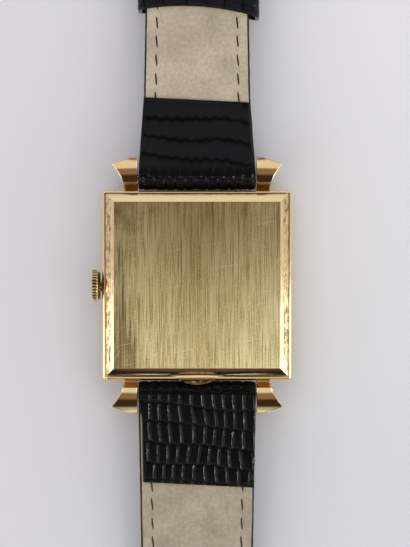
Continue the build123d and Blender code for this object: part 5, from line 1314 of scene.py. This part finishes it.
def keeper_loop(name, at, bow, skew, aside, seed):
    """A loop round the twelve o'clock half, square to its slope, whose near edge lies at a distance
    from the spring bar. Its middle is bowed outwards and it is skewed and moved aside."""
    near_u = BAR[0] + at
    share = (near_u + KEEPER_LENGTH / 2 - BAR[0]) / short_run[0]
    half_thick = FOLD + (PIN_FOLD - FOLD) * share
    wide = high_corner(name)[0] + KEEPER_GIVE
    top = half_thick - SKIN + KEEPER_OVER + KEEPER_WALL
    bottom = -half_thick - KEEPER_UNDER - KEEPER_WALL
    corner = 2 * KEEPER_WALL
    right, high, low = wide - corner, top - corner, bottom + corner
    sides = (
        ((wide, low), (wide, high), KEEPER_STEP, (right, high)),
        ((right, top), (-right, top), KEEPER_FINE_STEP, (-right, high)),
        ((-wide, high), (-wide, low), KEEPER_STEP, (-right, low)),
        ((-right, bottom), (right, bottom), KEEPER_STEP, (right, low)),
    )
    outline = []
    for k, (start, end, step, centre) in enumerate(sides):
        outline.append(line_points(start, end, step))
        outline.append(arc_points(centre, corner, k * pi / 2, (k + 1) * pi / 2, KEEPER_FINE_STEP))
    outline = np.concatenate(outline)
    tangent = unit(np.roll(outline, -1, axis=0) - np.roll(outline, 1, axis=0))
    normal = inwards(tangent)
    run = travel(outline)
    columns = int(KEEPER_LENGTH / KEEPER_FINE_STEP)
    along = np.linspace(0, KEEPER_LENGTH, columns + 1)[None, :] + 0 * run[:, None]
    depth, groove = lizard(along, run[:, None] + 0 * along, seed, KEEPER_COLUMN_SHARE)
    to_edge = np.minimum(along, KEEPER_LENGTH - along)
    depth = depth * fade(to_edge, *KEEPER_RELIEF_FADE) + KEEPER_DROP * rounded(to_edge, KEEPER_ROLL)
    groove = groove * fade(to_edge, *KEEPER_GROOVE_FADE)
    inner = np.stack([along[:, -1], along[:, 0]], axis=1)
    along, depth, groove = line_inside(along, depth, groove, inner, KEEPER_WALL)
    x = outline[:, :1] - normal[:, :1] * depth + aside
    up = outline[:, 1:] - normal[:, 1:] * depth
    out = near_u - BAR[0] + along + (bow * (KEEPER_BOW_SHARE - (x / wide) ** 2) - skew * x)
    u = BAR[0] + out * short_way[0] + up * square_up[0]
    z = BAR[1] + out * short_way[1] + up * square_up[1]
    loop = np.stack([x, u, z], axis=-1)
    quads = ring_faces(*loop.shape[:2], closed=True).tolist()
    piece = make_piece(name + "_loop", loop.reshape(-1, 3) * MM, quads, [LEATHER])
    store(piece, "groove", groove)
    store(piece, "tone_and_sheen", np.full(groove.size, KEEPER_TONE_AND_SHEEN))
    piece.data.set_sharp_from_angle(angle=SHARP_LEATHER)
    stand_in(piece, name)


keeper_loop("free_keeper", FREE_KEEPER_AT, bow=1.0, skew=0.056, aside=0.2, seed=51)
keeper_loop("fixed_keeper", FIXED_KEEPER_AT, bow=0.2, skew=0.0, aside=0.0, seed=53)

# Crown: a fluted disc that narrows towards the case, drawn from its outer face inwards
CROWN_FLUTES = 32
FLUTE_POINTS = 12
FLUTE_DEPTH = 0.24
PROFILE_RADIUS = 2.2
PROFILE_LENGTH = 1.1
RIDGE_SPAN = (-0.55, 0.75)
CROWN_SHADE_SPAN = (0.8, 0.86)
CROWN_SHADE_SHARE = 0.75
CROWN_PROFILE = [  # along the crown, radius, and how deep the flutes are cut there
    (0.06, 0.02, 0), (0.06, 1.1, 0), (0.03, 1.45, 0), (0.0, 1.75, 0), (0.0, 1.95, 0),
    (0.03, 2.08, 0.2), (0.07, 2.16, 0.7), (0.12, 2.2, 1), (0.2, 2.2, 1), (0.58, 2.2, 1),
    (0.66, 2.2, 0.9), (0.72, 2.18, 0.4), (0.78, 2.12, 0), (0.82, 2.04, 0), (0.86, 1.9, 0),
    (0.98, 1.84, 0), (1.06, 1.78, 0), (1.1, 1.7, 0), (1.1, 1.15, 0), (1.06, 1.1, 0),
    (0.62, 1.08, 0), (0.6, 0.02, 0),
]


def crown_piece():
    """A crown through rings of points that follow its profile."""
    low = low_corner("crown")
    high = high_corner("crown")
    middle = (low + high) / 2
    scale = (high[2] - low[2]) / 2 / PROFILE_RADIUS
    turns = np.linspace(0, 2 * pi, CROWN_FLUTES * FLUTE_POINTS, endpoint=False)
    ridge = fade(np.cos(turns * CROWN_FLUTES), *RIDGE_SPAN)
    rings = []
    grooves = []
    for along, radius, cut in CROWN_PROFILE:
        reach = radius * scale - FLUTE_DEPTH * cut * (1 - ridge)
        x = low[0] + along * (high[0] - low[0]) / PROFILE_LENGTH + 0 * turns
        y = middle[1] + reach * np.cos(turns)
        rings.append(np.stack([x, y, middle[2] + reach * np.sin(turns)], axis=1))
        # Painted shade: the crown's back end, beside the case, is stored as groove so that it is stained
        # dark
        behind = fade(along, *CROWN_SHADE_SPAN) + 0 * turns
        grooves.append(np.maximum(cut * (1 - ridge), CROWN_SHADE_SHARE * behind))
    stand_in(tube("crown_fluted", np.array(rings) * MM, [gold_fluted()], np.array(grooves)), "crown")


crown_piece()

# Floor, light and camera
FLOOR_BELOW = 0.02
FLOOR_ACROSS = 25.0
FLOOR_UPWARDS = 35.0
floor_half = 12.0  # metres
floor_points = [(x * floor_half, y * floor_half, 0) for x, y in CORNERS]
floor = make_piece("floor", floor_points, [(0, 1, 2, 3)], [], smooth=False)
floor.location.z = -FLOOR_BELOW * MM


def floor_paper():
    """Matt pale paper, clear when it is looked at from below, with painted shade: darker towards -Y and
    the left, lightest towards +Y on the right.
    """
    paper = Surface("floor_paper", {"Roughness": 0.9, "Specular IOR Level": 0.1})
    axes = paper.axes()
    # Painted shade and light across the floor: darker towards -Y and the left, lighter towards +Y and
    # the right
    across = paper.ease(axes["X"], -FLOOR_ACROSS * MM, FLOOR_ACROSS * MM)
    upwards = paper.ease(axes["Y"], -FLOOR_UPWARDS * MM, FLOOR_UPWARDS * MM)
    near = paper.mix(across, "#E0E1E6", "#DFE3E7")
    far = paper.mix(across, "#E8E9ED", "#F2F3F6")
    paper.link("Base Color", paper.mix(upwards, near, far))
    behind = paper.add("ShaderNodeNewGeometry", out="Backfacing")
    clear = paper.add("ShaderNodeBsdfTransparent")
    both = {0: behind, 1: paper.shader.outputs[0], 2: clear}
    both = paper.add("ShaderNodeMixShader", inputs=both)
    paper.tree.links.new(both, paper.output.inputs["Surface"])
    return paper.material


floor.data.materials.append(floor_paper())


def studio_room():
    """The room round the table: pale walls with a dark one to the south, and a dim ceiling with a
    dark beam to the north and a skylight to the south."""
    world = bpy.data.worlds.new("studio")
    room = Shading(world, "Generated")
    axes = room.axes()

    def blend(axis, low, high, first, second):
        """The first look below low on an axis and the second above high."""
        return room.mix(room.ease(axes[axis], low, high, slope="SMOOTHSTEP"), first, second)

    walls = blend("X", -0.4, 0.4, "#CDC3CB", "#CFCBC6")
    walls = blend("Y", 0.2, 0.75, walls, "#E4E2DE")
    walls = blend("Y", -0.35, -0.75, walls, blend("Z", 0.2, 0.36, "#2C2320", "#655458"))
    ceiling = blend("Y", -0.28, -0.42, "#887058", "#E2DCD2")
    ceiling = blend("Y", 0.06, 0.24, ceiling, "#382C24")
    ceiling = blend("Y", 0.62, 0.76, ceiling, "#B8B2AA")
    look = {"Color": blend("Z", 0.45, 0.62, walls, ceiling), "Strength": 1.0}
    light = room.add("ShaderNodeBackground", inputs=look)
    room.add("ShaderNodeOutputWorld", inputs={"Surface": light})
    return world


bpy.context.scene.world = studio_room()


def soft_light(name, place, aim_at, size, radiance, tint="#FFFFFF", glossy=True, diffuse=True):
    """A flat lamp of even radiance, where 1 is the brightness of white paper in full light."""
    data = bpy.data.lights.new(name, "AREA")
    data.shape = "RECTANGLE"
    data.size, data.size_y = size
    data.energy = radiance * pi * size[0] * size[1]
    data.color = colour(tint)[:3]
    lamp = new_object(name, data)
    lamp.location = place
    lamp.rotation_euler = (Vector(aim_at) - Vector(place)).to_track_quat("-Z", "Y").to_euler()
    lamp.visible_camera = False
    lamp.visible_glossy = glossy
    lamp.visible_diffuse = diffuse


# Two windows whose far edges end beside the watch's middle, a small bulb and an even fill, in metres
window_x = 0.45
window_size = (0.7, 0.9)
window_edge = 0.006
bulb_place = (0.42, -0.16, 0.5)
bulb_size = (0.03, 0.03)
bulb_radiance = 400.0
fill_place = (0, 0.4, 1.2)
fill_size = (1.6, 1.6)
fill_radiance = 0.78
for side, name, radiance in ((-1, "window_left", 1.33), (1, "window_right", 1.55)):
    centre = (side * window_x, window_edge - window_size[0] / 2, window_size[1] / 2)
    soft_light(name, centre, (0, centre[1], centre[2]), window_size, radiance)
soft_light("bulb", bulb_place, (0, 0, 0), bulb_size, bulb_radiance, diffuse=False)
soft_light("fill", fill_place, (0, 0, 0), fill_size, fill_radiance, "#E6EEFF", glossy=False)

# The photograph: 547 pixels tall, 7.475 of them to a millimetre at the case back
picture_height = 547
pixels_per_mm = 7.475
camera_distance = 400 * MM
camera_lean = 10.5 * MM
aim_x = 1.06 * MM
aim_y = 1.54 * MM
aim = Vector((aim_x, aim_y, field_z))
camera_data = bpy.data.cameras.new("camera")
camera_data.sensor_width = 36.0
camera_data.lens = camera_distance / MM * pixels_per_mm / picture_height * camera_data.sensor_width
camera_data.clip_start = 0.01
camera_data.clip_end = 50
camera = new_object("camera", camera_data)
camera.location = aim + Vector((0, -camera_lean, camera_distance))
camera.rotation_euler = (aim - camera.location).to_track_quat("-Z", "Y").to_euler()
bpy.context.scene.camera = camera
bpy.context.scene.view_settings.view_transform = "Standard"
